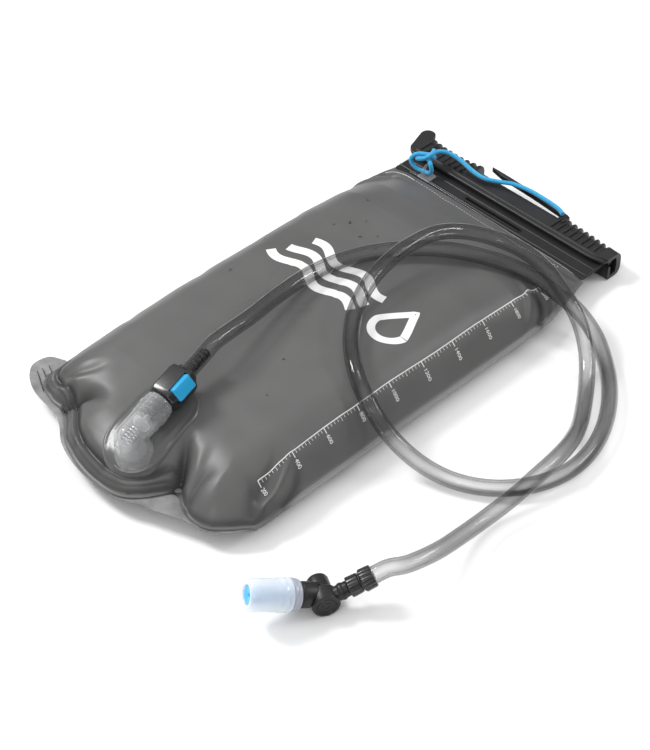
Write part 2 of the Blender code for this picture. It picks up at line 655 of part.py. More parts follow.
def build_mouth(clear):
    black = material("mouth_strip_black", (0.03, 0.03, 0.032), 0.45)
    # Strips welded to the films, with a bead that runs in the slider.
    y1 = STRIP_Y1
    sect = [(STRIP_Y0, 12.55), (STRIP_Y0, 13.7), (170.2, 13.7), (170.6, 14.3),
            (y1 - 0.6, 14.3), (y1, 13.8), (y1, 12.55)]
    v, f = prism(sect, STRIP_X0, STRIP_X1, axis="X")
    front = add_object("mouth_strip_front", v, f, black)
    sect = [(STRIP_Y0, 11.05), (STRIP_Y0, 12.2), (y1, 12.2), (y1, 8.6),
            (y1 - 0.5, 8.1), (170.2, 8.1), (169.8, 8.6), (169.4, 11.05)]
    v, f = prism(sect, STRIP_X0, STRIP_X1, axis="X")
    back = add_object("mouth_strip_back", v, f, black)
    # Carrying slit through both strips.
    v, f = box((-20.0, 150.6, 5.0), (26.0, 152.2, 20.0))
    slit = add_object("carry_slit", v, f, black)
    boolean(front, slit)
    boolean(back, slit)
    # Raised rim round the slit.
    ring = []
    for cx, a0 in ((23.6, -90), (-17.6, 90)):
        for k in range(7):
            a = math.radians(a0 + 30 * k)
            ring.append((cx + 3.6 * math.cos(a), 151.4 + 2.7 * math.sin(a)))
    n = len(ring)
    inner = []
    for cx, a0 in ((23.6, -90), (-17.6, 90)):
        for k in range(7):
            a = math.radians(a0 + 30 * k)
            inner.append((cx + 2.6 * math.cos(a), 151.4 + 1.5 * math.sin(a)))
    verts, faces = [], []
    for z in (14.0, 14.6):
        verts += [(x, y, z) for x, y in ring]
        verts += [(x, y, z) for x, y in inner]
    for k in range(n):
        k2 = (k + 1) % n
        faces.append((k, n + k, n + k2, k2))
        faces.append((2 * n + k, 2 * n + k2, 3 * n + k2, 3 * n + k))
        faces.append((k, k2, 2 * n + k2, 2 * n + k))
        faces.append((n + k2, n + k, 3 * n + k, 3 * n + k2))
    add_object("slit_rim", verts, faces, black)
    # Clear eyelet that the tether is tied through.
    ex, ey = -54.0, 149.6
    ring_o, ring_i = [], []
    for k in range(16):
        a = 2 * math.pi * k / 16
        ring_o.append((ey + 4.6 * math.cos(a), 19.4 + 4.9 * math.sin(a)))
        ring_i.append((ey + 2.9 * math.cos(a), 19.4 + 3.1 * math.sin(a)))
    verts, faces, n = [], [], 16
    for x in (ex - 1.1, ex + 1.1):
        verts += [(x, y, z) for y, z in ring_o]
        verts += [(x, y, z) for y, z in ring_i]
    for k in range(n):
        k2 = (k + 1) % n
        faces.append((k, n + k, n + k2, k2))
        faces.append((2 * n + k, 2 * n + k2, 3 * n + k2, 3 * n + k))
        faces.append((k, k2, 2 * n + k2, 2 * n + k))
        faces.append((n + k2, n + k, 3 * n + k, 3 * n + k2))
    add_object("tether_eyelet", verts, faces, clear)


def build_tether():
    cord = material("tether_blue", (0.02, 0.42, 0.85), 0.6)
    run = TETHER_ROUTE
    pts = catmull(run, 4)
    tube_curve("tether_cord", pts, 1.5, cord, 2)
    v, f = turned([(0, 2.7), (1.6, 2.4), (2.7, 1.0), (2.9, 0), (2.7, -1.0), (1.6, -2.4),
                   (0, -2.7)], 12)
    knot = [(x - 56.4, y + 153.9, z + 25.0) for x, y, z in v]
    add_object("tether_knot", knot, f, cord)
    # The loop lies round the eyelet's upper bar.
    ring = []
    for k in range(24):
        a = 2 * math.pi * k / 24
        ring.append(Vector((-54.0 + 3.2 * math.cos(a), 149.6, 23.4 + 3.2 * math.sin(a))))
    verts, faces, sides = [], [], 8
    for i, c in enumerate(ring):
        a = 2 * math.pi * i / 24
        out = Vector((math.cos(a), 0, math.sin(a)))
        for s in range(sides):
            b = 2 * math.pi * s / sides
            verts.append(tuple(c + out * 1.2 * math.cos(b) + Vector((0, 1.2 * math.sin(b), 0))))
    for i in range(24):
        for s in range(sides):
            i2, s2 = (i + 1) % 24, (s + 1) % sides
            faces.append((i * sides + s, i2 * sides + s, i2 * sides + s2, i * sides + s2))
    add_object("tether_loop", verts, faces, cord)


def build_valve():
    black = material("valve_black", (0.025, 0.025, 0.027), 0.5)
    rubber = material("valve_seal", (0.01, 0.01, 0.01), 0.6)
    grey = material("base_ring_grey", (0.45, 0.46, 0.52), 0.35)
    blue = material("core_blue", (0.03, 0.40, 0.80), 0.3)
    silicone = material("mouth_silicone", (0.80, 0.87, 0.95), 0.35, alpha=0.7)
    b = Vector(VALVE_AXIS).normalized()
    ang = math.atan2(b.y, b.x)
    # Local frame: +Y along the barrel axis out of its face, +X along the
    # mouthpiece side in plan, +Z up.
    e = frame_empty("shutoff_axis", VALVE_FACE, (0, 0, ang - math.pi / 2))
    bpy.context.view_layer.update()

    # Housing: the front barrel, fixed to the tube by its stem.
    prof = [(0, 0), (2.6, 0), (2.9, -0.35), (4.6, -0.35), (4.9, 0), (7.2, 0), (7.9, -0.7),
            (7.9, -9.2), (7.5, -9.6), (5.3, -9.6), (5.3, -2.0), (0, -2.0)]
    v, f = turned(prof, 28)
    house = add_object("valve_housing", v, f, black, parent=e)
    cs, sn = math.cos(math.radians(STEM_PITCH)), math.sin(math.radians(STEM_PITCH))

    def arm(verts, cs, sn, sign, ys):
        """Turn a solid made along +Y so it runs out along an arm."""
        out = []
        for x, y, z in verts:
            # along the arm: y; across in barrel direction: x; remaining: z
            out.append((sign * (y * cs - z * sn) if sign > 0 else -(y * cs - z * sn),
                        ys + x, y * sn + z * cs))
        return out

    v, f = turned([(0, 6.4), (4.4, 6.4), (4.4, 14.3), (0, 14.3)], 20)
    stem = add_object("stem_blank", arm(v, cs, sn, -1, -5.0), f, black, parent=e)
    boolean(house, stem, "UNION")
    v, f = turned([(0, 3.0), (2.2, 3.0), (2.2, 30), (0, 30)], 14)
    flow = add_object("stem_flow", arm(v, cs, sn, -1, -5.0), f, black, parent=e)
    boolean(house, flow)
    # Collars on the stem that grip the tube.
    prof = [(2.3, 14.6), (5.6, 14.6), (5.9, 15.2), (5.7, 21.0), (5.2, 21.6), (2.3, 21.6)]
    v, f = turned(prof, 20)
    add_object("stem_sleeve", arm(v, cs, sn, -1, -5.0), f, black, parent=e)
    prof = [(2.3, 21.9), (5.4, 21.9), (6.5, 22.8), (6.3, 29.0), (5.6, 29.6), (2.3, 29.6)]
    v, f = turned(prof, 20)
    add_object("tube_collar", arm(v, cs, sn, -1, -5.0), f, black, parent=e)

    # Rotor: rear barrel and the arm that carries the mouthpiece.
    prof = [(0, -20.6), (4.9, -20.6), (6.3, -19.2), (6.3, -9.95), (0, -9.95)]
    v, f = turned(prof, 24)
    rotor = add_object("valve_rotor", v, f, black, parent=e)
    cm, sm = math.cos(math.radians(ARM_PITCH)), math.sin(math.radians(ARM_PITCH))
    v, f = turned([(0, 2.0), (6.9, 2.0), (7.3, 9.0), (7.3, 14.2), (0, 14.2)], 24)
    blank = add_object("arm_blank", arm(v, cm, sm, 1, -9.0), f, black, parent=e)
    boolean(rotor, blank, "UNION")
    v, f = turned([(0, -9.9), (8.3, -9.9), (8.3, 6), (0, 6)], 28)
    clear = add_object("housing_clearance", v, f, black, parent=e)
    boolean(rotor, clear)
    v, f = turned([(0, 4.5), (2.4, 4.5), (2.4, 20), (0, 20)], 14)
    mflow = add_object("arm_flow", arm(v, cm, sm, 1, -12.9), f, black, parent=e)
    boolean(rotor, mflow)
    # Spool that turns inside the housing and shuts the flow, with its seal.
    prof = [(0, -2.3), (4.7, -2.3), (5.0, -2.7), (5.0, -6.2), (4.1, -6.2), (4.1, -7.6),
            (5.0, -7.6), (5.0, -9.6), (0, -9.6)]
    v, f = turned(prof, 20)
    add_object("shutoff_spool", v, f, black, parent=e)
    v, f = torus(4.68, 0.42, 20, 8, at=-6.9)
    add_object("spool_o_ring", v, f, rubber, parent=e)

    prof = [(2.6, 14.5), (8.6, 14.5), (9.0, 15.0), (9.3, 18.6), (9.0, 19.2), (2.6, 19.2)]
    v, f = turned(prof, 28)
    add_object("mouth_base_ring", arm(v, cm, sm, 1, -9.0), f, grey, parent=e)
    prof = [(1.8, 19.5), (6.6, 19.5), (6.6, 22.0), (4.4, 24.0), (4.0, 36.0), (4.0, 39.4),
            (3.2, 41.2), (1.8, 41.8)]
    v, f = turned(prof, 20)
    add_object("flow_core", arm(v, cm, sm, 1, -9.0), f, blue, parent=e)
    prof = [(9.4, 19.5), (9.6, 20.2), (9.6, 26.0), (9.1, 31.0), (9.2, 37.0), (8.8, 41.0),
            (7.6, 43.0), (5.8, 43.8), (4.6, 43.6), (4.5, 42.2), (6.4, 40.4), (7.2, 37.0),
            (7.2, 24.0), (7.1, 19.5)]
    v, f = turned(prof, 28)
    add_object("bite_mouthpiece", arm(v, cm, sm, 1, -9.0), f, silicone, parent=e)
    # Where the tube meets the collar, and its direction, in the row frame.
    m = e.matrix_world
    end = m @ (Vector(arm([(0, 29.9, 0)], cs, sn, -1, -5.0)[0]) * MM) / MM
    out = m @ (Vector(arm([(0, 39.9, 0)], cs, sn, -1, -5.0)[0]) * MM) / MM
    return end, (out - end).normalized()


def main():
    clear_scene()
    front, film, clear = build_bag()
    pm = build_port(front, clear)
    build_mouth(clear)
    build_slider()
    build_tether()
    end, out = build_valve()
    start = pm @ (Vector((0, 70.2, 0)) * MM) / MM
    ahead = pm @ (Vector((0, 78.0, 0)) * MM) / MM
    route = [start, ahead] + [Vector(p) for p in TUBE_ROUTE[1:]] \
        + [end + out * 9.0, end]
    pts = resample(catmull(route, 8), 76)
    pts = [start, start + (ahead - start) * 0.5] + pts[1:-1] + [end + out * 5.0, end]
    tube_curve("drink_tube", pts, TUBE_R,
               material("tube_smoke_run", (0.20, 0.20, 0.20), 0.15, alpha=0.6), 2)


main()
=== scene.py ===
import math
import bmesh
import bpy
import numpy as np
from mathutils import Matrix, Vector


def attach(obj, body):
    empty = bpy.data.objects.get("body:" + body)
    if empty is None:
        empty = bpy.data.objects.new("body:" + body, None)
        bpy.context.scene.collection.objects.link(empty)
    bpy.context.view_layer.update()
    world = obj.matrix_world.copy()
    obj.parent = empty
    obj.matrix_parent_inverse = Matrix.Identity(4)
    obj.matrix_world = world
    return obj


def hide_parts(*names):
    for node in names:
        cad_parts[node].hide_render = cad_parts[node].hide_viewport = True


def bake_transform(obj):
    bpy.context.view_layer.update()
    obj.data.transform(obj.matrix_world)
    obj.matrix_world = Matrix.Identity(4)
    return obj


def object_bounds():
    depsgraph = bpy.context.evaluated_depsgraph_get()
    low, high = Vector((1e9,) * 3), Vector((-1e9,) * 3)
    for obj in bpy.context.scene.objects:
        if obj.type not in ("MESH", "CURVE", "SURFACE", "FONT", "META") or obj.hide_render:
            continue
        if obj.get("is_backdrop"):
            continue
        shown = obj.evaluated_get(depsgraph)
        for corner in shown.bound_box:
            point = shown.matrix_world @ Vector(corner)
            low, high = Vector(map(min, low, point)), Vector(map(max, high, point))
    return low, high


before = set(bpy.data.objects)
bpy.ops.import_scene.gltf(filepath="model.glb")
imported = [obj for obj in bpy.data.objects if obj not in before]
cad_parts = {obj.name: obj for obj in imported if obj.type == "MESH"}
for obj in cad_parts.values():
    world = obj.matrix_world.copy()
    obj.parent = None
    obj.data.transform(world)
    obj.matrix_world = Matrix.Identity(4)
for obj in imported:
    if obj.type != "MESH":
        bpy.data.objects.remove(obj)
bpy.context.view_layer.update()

MM = 0.001
scn = bpy.context.scene

# ------------------------------------------------------------------- camera
T = Vector((0.040, -0.0365, 0.020))
az, el = math.radians(45.5), math.radians(43.0)
back_dir = Vector((math.sin(az) * math.cos(el), -math.cos(az) * math.cos(el), math.sin(el)))
cam_data = bpy.data.cameras.new("cam")
cam = bpy.data.objects.new("cam", cam_data)
scn.collection.objects.link(cam)
cam.location = T + back_dir * 1.2
cam.rotation_mode = "QUATERNION"
cam.rotation_quaternion = (-back_dir).to_track_quat("-Z", "Y")
cam_data.lens = 98.5
cam_data.sensor_width = 36.0
cam_data.clip_start, cam_data.clip_end = 0.01, 20.0
scn.camera = cam

# ---------------------------------------------------- dimensions, millimetres
FLANGE_W, FLANGE_Z, GUSSET_LIFT, EDGE_RUN, BACK_Z = 5.0, 12.4, 1.3, 34.0, 9.4
TUBE_R, TUBE_BORE = 5.0, 3.6
PORT_ORIGIN, PORT_YAW, PORT_PITCH = (15.8, -164.4, 40.4), 8.0, 13.0
BUTTON_TILT = 32.0
VALVE_FACE, VALVE_AXIS = (160.1, -153.0, 8.2), (0.885, -0.465, 0.0)
ARM_PITCH, STEM_PITCH = 18.0, 22.0
SLIDER_X0, SLIDER_X1, GRIP_RIBS = -80.0, 87.0, 8
SLIDER_REAR = [(-80, 1.42), (-66, 1.25), (-53, 1.18), (-44, 1.32), (-36, 1.5),
               (-34.8, 1.5), (-33.6, 0.72), (36.2, 0.72), (37.4, 1.2), (50, 1.14),
               (66, 1.0), (78, 0.86), (87, 0.78)]
TETHER_ROUTE = [(-57.2, 157.2, 25.2), (-57.9, 161.0, 25.4), (-56.3, 165.6, 24.9),
                (-51.5, 169.6, 23.3), (-43.0, 171.0, 21.3), (-31.0, 169.4, 20.1),
                (-21.0, 169.6, 19.8), (-12.0, 174.0, 19.7), (-3.8, 178.6, 19.7),
                (7.4, 181.0, 19.6), (21.0, 181.2, 19.5), (32.5, 180.2, 19.4),
                (38.4, 178.0, 19.4)]
OUT_BOTTOM = [(-80, -148), (-74, -156), (-62, -160), (-52, -161), (-43, -166),
              (-30, -176), (-12, -182.5), (8, -185), (24, -182.5), (34, -175),
              (40, -166), (44, -159.5), (49, -159), (56, -163), (66, -166),
              (77, -164), (86, -156), (95, -144)]
OUT_LEFT = [(-80, -148), (-81, -120), (-81, 0), (-81, 110), (-80, 130), (-77, 144)]
OUT_RIGHT = [(95, -144), (95, -100), (95, 0), (95, 90), (91, 118), (85, 144)]
CROWN = [(-185, 30), (-165, 30.5), (-150, 32.5), (-135, 35), (-120, 37.5),
         (-100, 39.5), (-60, 41.5), (0, 42), (50, 41), (85, 36.5), (110, 29),
         (128, 21), (144, 14.4)]
TUBE_ROUTE = [
    (4.7, -77.9, 56.2), (0.9, -57.9, 54.6), (-3.2, -38.6, 52.2), (-6.3, -19.3, 49.9),
    (-7.3, 0.2, 48.4), (-4.6, 19.5, 47.5), (2.1, 37.9, 47.0), (12.1, 54.7, 46.4),
    (24.4, 69.9, 45.2), (38.7, 83.2, 42.9), (54.3, 94.4, 39.4), (70.8, 103.6, 34.5),
    (86.9, 110.7, 25.9), (103.5, 115.8, 16.8), (120.9, 113.4, 8.9), (137.2, 103.2, 5.4),
    (151.7, 90.0, 5.4), (164.0, 74.9, 5.4), (174.0, 58.0, 5.4), (180.7, 39.6, 5.4),
    (182.7, 20.2, 5.4), (178.6, 1.1, 5.4), (168.8, -15.8, 5.4), (154.5, -29.1, 5.6),
    (136.9, -38.5, 7.5), (119.0, -44.4, 13.5), (103.2, -48.4, 24.5), (89.0, -48.5, 36.2),
    (73.3, -43.3, 44.0), (57.5, -32.3, 47.2), (43.7, -18.4, 48.2), (32.9, -2.2, 50.9),
    (26.3, 15.8, 54.4), (23.7, 35.0, 57.4), (23.5, 54.6, 58.0), (24.7, 73.9, 55.5),
    (30.9, 91.5, 49.8), (43.5, 104.4, 44.8), (62.0, 110.3, 42.6), (81.2, 109.4, 40.4),
    (99.5, 106.0, 34.0), (116.0, 102.0, 24.6), (129.8, 94.0, 13.8), (141.8, 81.0, 6.4),
    (153.2, 65.2, 5.4), (163.5, 49.0, 7.1), (171.6, 31.9, 11.9), (176.7, 13.3, 15.4),
    (178.6, -6.2, 15.8), (177.5, -25.2, 11.2), (176.0, -45.2, 8.6), (177.2, -67.5, 11.9),
    (179.1, -89.6, 17.6), (176.9, -111.0, 22.0)]


# ------------------------------------------------------------------ materials
def principled(name):
    m = bpy.data.materials.new(name)
    m.use_nodes = True
    nt = m.node_tree
    return m, nt, nt.nodes["Principled BSDF"]


def make_mat(name, color, rough=0.45, metal=0.0, coat=0.0, coat_rough=0.2, trans=0.0,
             alpha=1.0, ior=1.45, var=0.12, var_scale=60.0, grain=0.0, grain_scale=2500.0,
             rough_var=0.06, sheen=0.0, sub=0.0, spec=0.5, mask=None, mask_color=None):
    """Plastic, film or rubber with mottled colour, uneven gloss and fine grain."""
    m, nt, p = principled(name)
    n, l = nt.nodes, nt.links
    tc = n.new("ShaderNodeTexCoord")
    big = n.new("ShaderNodeTexNoise")
    big.inputs["Scale"].default_value = var_scale
    big.inputs["Detail"].default_value = 4.0
    l.new(tc.outputs["Object"], big.inputs["Vector"])
    ramp = n.new("ShaderNodeValToRGB")
    lo = [max(0.0, c * (1 - var)) for c in color]
    hi = [min(1.0, c * (1 + var)) for c in color]
    ramp.color_ramp.elements[0].position = 0.3
    ramp.color_ramp.elements[1].position = 0.7
    ramp.color_ramp.elements[0].color = (*lo, 1)
    ramp.color_ramp.elements[1].color = (*hi, 1)
    l.new(big.outputs["Fac"], ramp.inputs["Fac"])
    out = ramp.outputs["Color"]
    if mask:
        at = n.new("ShaderNodeAttribute")
        at.attribute_name = mask
        mix = n.new("ShaderNodeMix")
        mix.data_type = "RGBA"
        l.new(at.outputs["Fac"], mix.inputs["Factor"])
        l.new(out, mix.inputs["A"])
        mix.inputs["B"].default_value = (*mask_color, 1)
        out = mix.outputs["Result"]
        # painted shade: a second mask darkens the colour to near-black in the film's folds and under the mouth
        # strip
        at2 = n.new("ShaderNodeAttribute")
        at2.attribute_name = "painted_fold_shade"
        mix2 = n.new("ShaderNodeMix")
        mix2.data_type = "RGBA"
        l.new(at2.outputs["Fac"], mix2.inputs["Factor"])
        l.new(out, mix2.inputs["A"])
        mix2.inputs["B"].default_value = (0.012, 0.012, 0.012, 1)
        out = mix2.outputs["Result"]
    l.new(out, p.inputs["Base Color"])
    mr = n.new("ShaderNodeMapRange")
    mr.inputs["To Min"].default_value = max(0.02, rough - rough_var)
    mr.inputs["To Max"].default_value = min(1.0, rough + rough_var)
    fine = n.new("ShaderNodeTexNoise")
    fine.inputs["Scale"].default_value = var_scale * 5
    fine.inputs["Detail"].default_value = 3.0
    l.new(tc.outputs["Object"], fine.inputs["Vector"])
    l.new(fine.outputs["Fac"], mr.inputs["Value"])
    l.new(mr.outputs["Result"], p.inputs["Roughness"])
    if grain > 0:
        g = n.new("ShaderNodeTexNoise")
        g.inputs["Scale"].default_value = grain_scale
        g.inputs["Detail"].default_value = 2.0
        l.new(tc.outputs["Object"], g.inputs["Vector"])
        b = n.new("ShaderNodeBump")
        b.inputs["Strength"].default_value = grain
        b.inputs["Distance"].default_value = 0.0002
        l.new(g.outputs["Fac"], b.inputs["Height"])
        l.new(b.outputs["Normal"], p.inputs["Normal"])
    p.inputs["Metallic"].default_value = metal
    p.inputs["IOR"].default_value = ior
    p.inputs["Specular IOR Level"].default_value = spec
    p.inputs["Coat Weight"].default_value = coat
    p.inputs["Coat Roughness"].default_value = coat_rough
    p.inputs["Transmission Weight"].default_value = trans
    p.inputs["Alpha"].default_value = alpha
    p.inputs["Sheen Weight"].default_value = sheen
    if sub > 0:
        p.inputs["Subsurface Weight"].default_value = sub
        p.inputs["Subsurface Radius"].default_value = (0.004, 0.005, 0.006)
        p.inputs["Subsurface Scale"].default_value = 1.0
    return m


def see_through(name, color, centre, edge, rough=0.1, coat=1.0, blend_at=0.5):
    """Thin clear plastic that closes up toward its outline."""
    m = make_mat(name, color, rough=rough, coat=coat, coat_rough=0.03, var=0.04,
                 rough_var=0.02)
    n, l = m.node_tree.nodes, m.node_tree.links
    lw = n.new("ShaderNodeLayerWeight")
    lw.inputs["Blend"].default_value = blend_at
    mr = n.new("ShaderNodeMapRange")
    mr.inputs["To Min"].default_value = centre
    mr.inputs["To Max"].default_value = edge
    l.new(lw.outputs["Facing"], mr.inputs["Value"])
    p = next(k for k in n if k.type == "BSDF_PRINCIPLED")
    p.inputs["Alpha"].default_value = (centre + edge) / 2
    l.new(mr.outputs["Result"], p.inputs["Alpha"])
    return m


M_FILM = make_mat("film_smoke", (0.103, 0.1015, 0.1005), rough=0.42, coat=0.06, coat_rough=0.3,
                  var=0.08, var_scale=22, grain=0.08, grain_scale=1400, rough_var=0.05,
                  spec=0.34, mask="weld", mask_color=(0.26, 0.26, 0.265))
M_PATCH = make_mat("patch_film", (0.098, 0.097, 0.096), rough=0.30, coat=0.16, coat_rough=0.15,
                   var=0.06, var_scale=60, grain=0.05, spec=0.4)
M_GUSSET = make_mat("film_clear", (0.27, 0.27, 0.275), rough=0.32, alpha=0.80, coat=0.12,
                    var=0.40, var_scale=70, grain=0.05, spec=0.4)
M_STRIP = make_mat("strip_black", (0.015, 0.015, 0.016), rough=0.45, coat=0.04, spec=0.28, var=0.15,
                   grain=0.18, grain_scale=1800)
M_BLACK = make_mat("plastic_black", (0.015, 0.015, 0.016), rough=0.38, spec=0.42, var=0.18, grain=0.22,
                   grain_scale=2600)
M_GLOSSY = make_mat("plastic_black_gloss", (0.014, 0.014, 0.016), rough=0.27, coat=0.22,
                    coat_rough=0.12, var=0.15, grain=0.06)
M_RUBBER = make_mat("seal_black", (0.008, 0.008, 0.008), rough=0.5, var=0.2, grain=0.15)
M_STEEL = make_mat("spring_steel", (0.62, 0.62, 0.64), rough=0.25, metal=1.0, var=0.05,
                   grain=0.1)
M_CLEAR = see_through("clear_moulded", (0.56, 0.57, 0.58), 0.13, 0.62, rough=0.12, coat=1.0,
                      blend_at=0.36)
M_RING = see_through("clear_rings", (0.50, 0.51, 0.52), 0.14, 0.55, rough=0.10, coat=0.8)
M_WHITE = see_through("valve_white", (0.62, 0.63, 0.64), 0.30, 0.80, rough=0.25, coat=0.4)
M_BLUE = make_mat("button_blue", (0.012, 0.33, 0.62), rough=0.33, coat=0.3, coat_rough=0.2,
                  var=0.05, grain=0.08)
M_CORD = make_mat("cord_blue", (0.012, 0.33, 0.62), rough=0.6, var=0.18, var_scale=900,
                  grain=0.5, grain_scale=5000, sheen=0.4)
M_TUBE = see_through("tube_smoke", (0.014, 0.014, 0.015), 0.13, 0.95, rough=0.08, coat=1.0,
                     blend_at=0.38)
M_TUBE_IN = see_through("tube_inner", (0.03, 0.03, 0.03), 0.02, 0.40, rough=0.15, coat=0.5)
M_SILICONE = see_through("silicone", (0.84, 0.91, 0.98), 0.42, 0.86, rough=0.24, coat=0.5)
M_RINGGREY = make_mat("ring_grey", (0.42, 0.44, 0.52), rough=0.3, trans=0.15, coat=0.2, var=0.06)
M_CORE = make_mat("core_blue", (0.03, 0.42, 0.88), rough=0.25, coat=0.4, var=0.05)
M_PRINT = make_mat("print_white", (0.78, 0.78, 0.78), rough=0.5, var=0.04, grain=0.06)
M_DROP = make_mat("water_drop", (0.9, 0.9, 0.9), rough=0.04, trans=1.0, ior=1.33, var=0.01,
                  rough_var=0.01)


# -------------------------------------------------------------------- helpers
def catmull(points, steps):
    pts = [Vector(p) for p in points]
    ext = [2 * pts[0] - pts[1]] + pts + [2 * pts[-1] - pts[-2]]
    out = []
    for i in range(len(pts) - 1):
        a, b, c, d = ext[i:i + 4]
        for k in range(steps):
            t = k / steps
            out.append(0.5 * (2 * b + (c - a) * t + (2 * a - 5 * b + 4 * c - d) * t * t
                              + (3 * b - a - 3 * c + d) * t ** 3))
    out.append(pts[-1])
    return out


def resample(points, count):
    run = [0.0]
    for a, b in zip(points, points[1:]):
        run.append(run[-1] + (b - a).length)
    out, j = [], 0
    for i in range(count):
        s = run[-1] * i / (count - 1)
        while j < len(points) - 2 and run[j + 1] < s:
            j += 1
        t = (s - run[j]) / max(run[j + 1] - run[j], 1e-9)
        out.append(points[j].lerp(points[j + 1], min(max(t, 0.0), 1.0)))
    return out


def add(name, verts, faces, mat, body, nodes=(), smooth=40.0, matrix=None,
        cutter=False):
    """A piece from points in mm, put in the row frame and given to a body."""
    me = bpy.data.meshes.new(name)
    me.from_pydata([(v[0] * MM, v[1] * MM, v[2] * MM) for v in verts], [], faces)
    bm = bmesh.new()
    bm.from_mesh(me)
    bmesh.ops.remove_doubles(bm, verts=bm.verts, dist=1e-7)
    bmesh.ops.recalc_face_normals(bm, faces=bm.faces)
    bm.to_mesh(me)
    bm.free()
    if matrix is not None:
        me.transform(matrix)
    me.shade_smooth()
    me.set_sharp_from_angle(angle=math.radians(smooth))
    me.materials.append(mat)
    ob = bpy.data.objects.new(name, me)
    scn.collection.objects.link(ob)
    if cutter:
        return ob
    if body:
        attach(ob, body)
    if nodes:
        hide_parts(*nodes)
    return ob


def carve(ob, cutters, ops):
    """Booleans applied to the mesh; the cutting shapes are then removed."""
    for c, op in zip(cutters, ops):
        mod = ob.modifiers.new("b", "BOOLEAN")
        mod.operation = op
        mod.object = c
        mod.solver = "EXACT"
    dg = bpy.context.evaluated_depsgraph_get()
    me = bpy.data.meshes.new_from_object(ob.evaluated_get(dg), depsgraph=dg)
    ob.modifiers.clear()
    old = ob.data
    ob.data = me
    bpy.data.meshes.remove(old)
    for c in cutters:
        bpy.data.objects.remove(c, do_unlink=True)
    return ob


def reshade(ob, angle=35.0):
    ob.data.shade_smooth()
    ob.data.set_sharp_from_angle(angle=math.radians(angle))
    return ob


def soften(ob, width, seg=3, angle=35.0):
    """Rounded edges, applied to the mesh."""
    mod = ob.modifiers.new("edge", "BEVEL")
    mod.width = width * MM
    mod.segments = seg
    mod.limit_method = "ANGLE"
    mod.angle_limit = math.radians(angle)
    mod.harden_normals = False
    dg = bpy.context.evaluated_depsgraph_get()
    me = bpy.data.meshes.new_from_object(ob.evaluated_get(dg), depsgraph=dg)
    ob.modifiers.clear()
    old = ob.data
    ob.data = me
    bpy.data.meshes.remove(old)
    return reshade(ob, 40)


def turned(profile, seg, axis="Y"):
    rings, verts, faces = [], [], []
    for r, s in profile:
        if r < 1e-6:
            rings.append([len(verts)])
            verts.append((0.0, s, 0.0))
        else:
            ids = []
            for k in range(seg):
                a = 2 * math.pi * k / seg
                ids.append(len(verts))
                verts.append((r * math.cos(a), s, r * math.sin(a)))
            rings.append(ids)
    n = len(profile)
    for i in range(n):
        a, b = rings[i], rings[(i + 1) % n]
        if len(a) == 1 and len(b) == 1:
            continue
        for k in range(seg):
            k2 = (k + 1) % seg
            if len(a) == 1:
                faces.append((a[0], b[k], b[k2]))
            elif len(b) == 1:
                faces.append((a[k], b[0], a[k2]))
            else:
                faces.append((a[k], b[k], b[k2], a[k2]))
    if axis == "Z":
        verts = [(x, -z, y) for x, y, z in verts]
    return verts, faces


def rounded(profile, r=0.35, n=3):
    """The same closed section with small arcs at its corners off the axis."""
    out = []
    m = len(profile)
    for i in range(m):
        p0, p1, p2 = (Vector((*profile[(i + k) % m], 0)) for k in (-1, 0, 1))
        if p1.x < 1e-6:
            out.append((p1.x, p1.y))
            continue
        a, b = p0 - p1, p2 - p1
        d = min(r, a.length * 0.4, b.length * 0.4)
        if d < 0.03 or abs(a.angle(b, 3.14) - math.pi) < 0.2:
            out.append((p1.x, p1.y))
            continue
        qa, qb = p1 + a.normalized() * d, p1 + b.normalized() * d
        for k in range(n + 1):
            t = k / n
            q = qa * (1 - t) ** 2 + p1 * 2 * t * (1 - t) + qb * t * t
            out.append((max(q.x, 0.0), q.y))
    return out


def prism(outline, lo, hi, axis="Z"):
    n = len(outline)
    verts = []
    for h in (lo, hi):
        for u, v in outline:
            verts.append({"Z": (u, v, h), "X": (h, u, v), "Y": (u, h, v)}[axis])
    faces = [tuple(range(n))[::-1], tuple(range(n, 2 * n))]
    for i in range(n):
        j = (i + 1) % n
        faces.append((i, j, n + j, n + i))
    return verts, faces


def box(lo, hi):
    return prism([(lo[0], lo[1]), (hi[0], lo[1]), (hi[0], hi[1]), (lo[0], hi[1])],
                 lo[2], hi[2])


def torus(major, minor, seg, ring, at=0.0):
    return turned([(major + minor * math.cos(2 * math.pi * k / ring),
                    at + minor * math.sin(2 * math.pi * k / ring)) for k in range(ring)], seg)


def sweep(path, section, closed=False, cap=True):
    """Section rings carried along a path without twist.  section(i, n) gives
    points (u, v) about the path."""
    n = len(path)
    tan = []
    for i in range(n):
        if closed:
            t = path[(i + 1) % n] - path[i - 1]
        else:
            t = path[min(i + 1, n - 1)] - path[max(i - 1, 0)]
        tan.append(t.normalized())
    ref = Vector((0, 0, 1))
    if abs(tan[0].dot(ref)) > 0.9:
        ref = Vector((1, 0, 0))
    u = (ref - tan[0] * ref.dot(tan[0])).normalized()
    verts, sides = [], None
    for i in range(n):
        u = (u - tan[i] * u.dot(tan[i])).normalized()
        w = tan[i].cross(u)
        sec = section(i, n)
        sides = len(sec)
        for a, b in sec:
            verts.append(tuple(path[i] + u * a + w * b))
    faces = []
    for i in range(n if closed else n - 1):
        j = (i + 1) % n
        for k in range(sides):
            k2 = (k + 1) % sides
            faces.append((i * sides + k, j * sides + k, j * sides + k2, i * sides + k2))
    if cap and not closed:
        faces.append(tuple(range(sides))[::-1])
        faces.append(tuple(range((n - 1) * sides, n * sides)))
    return verts, faces


# ------------------------------------------------------------ the film's shape
def poly_xy(points, steps):
    return np.array([(p.x, p.y) for p in catmull([(x, y, 0) for x, y in points], steps)])


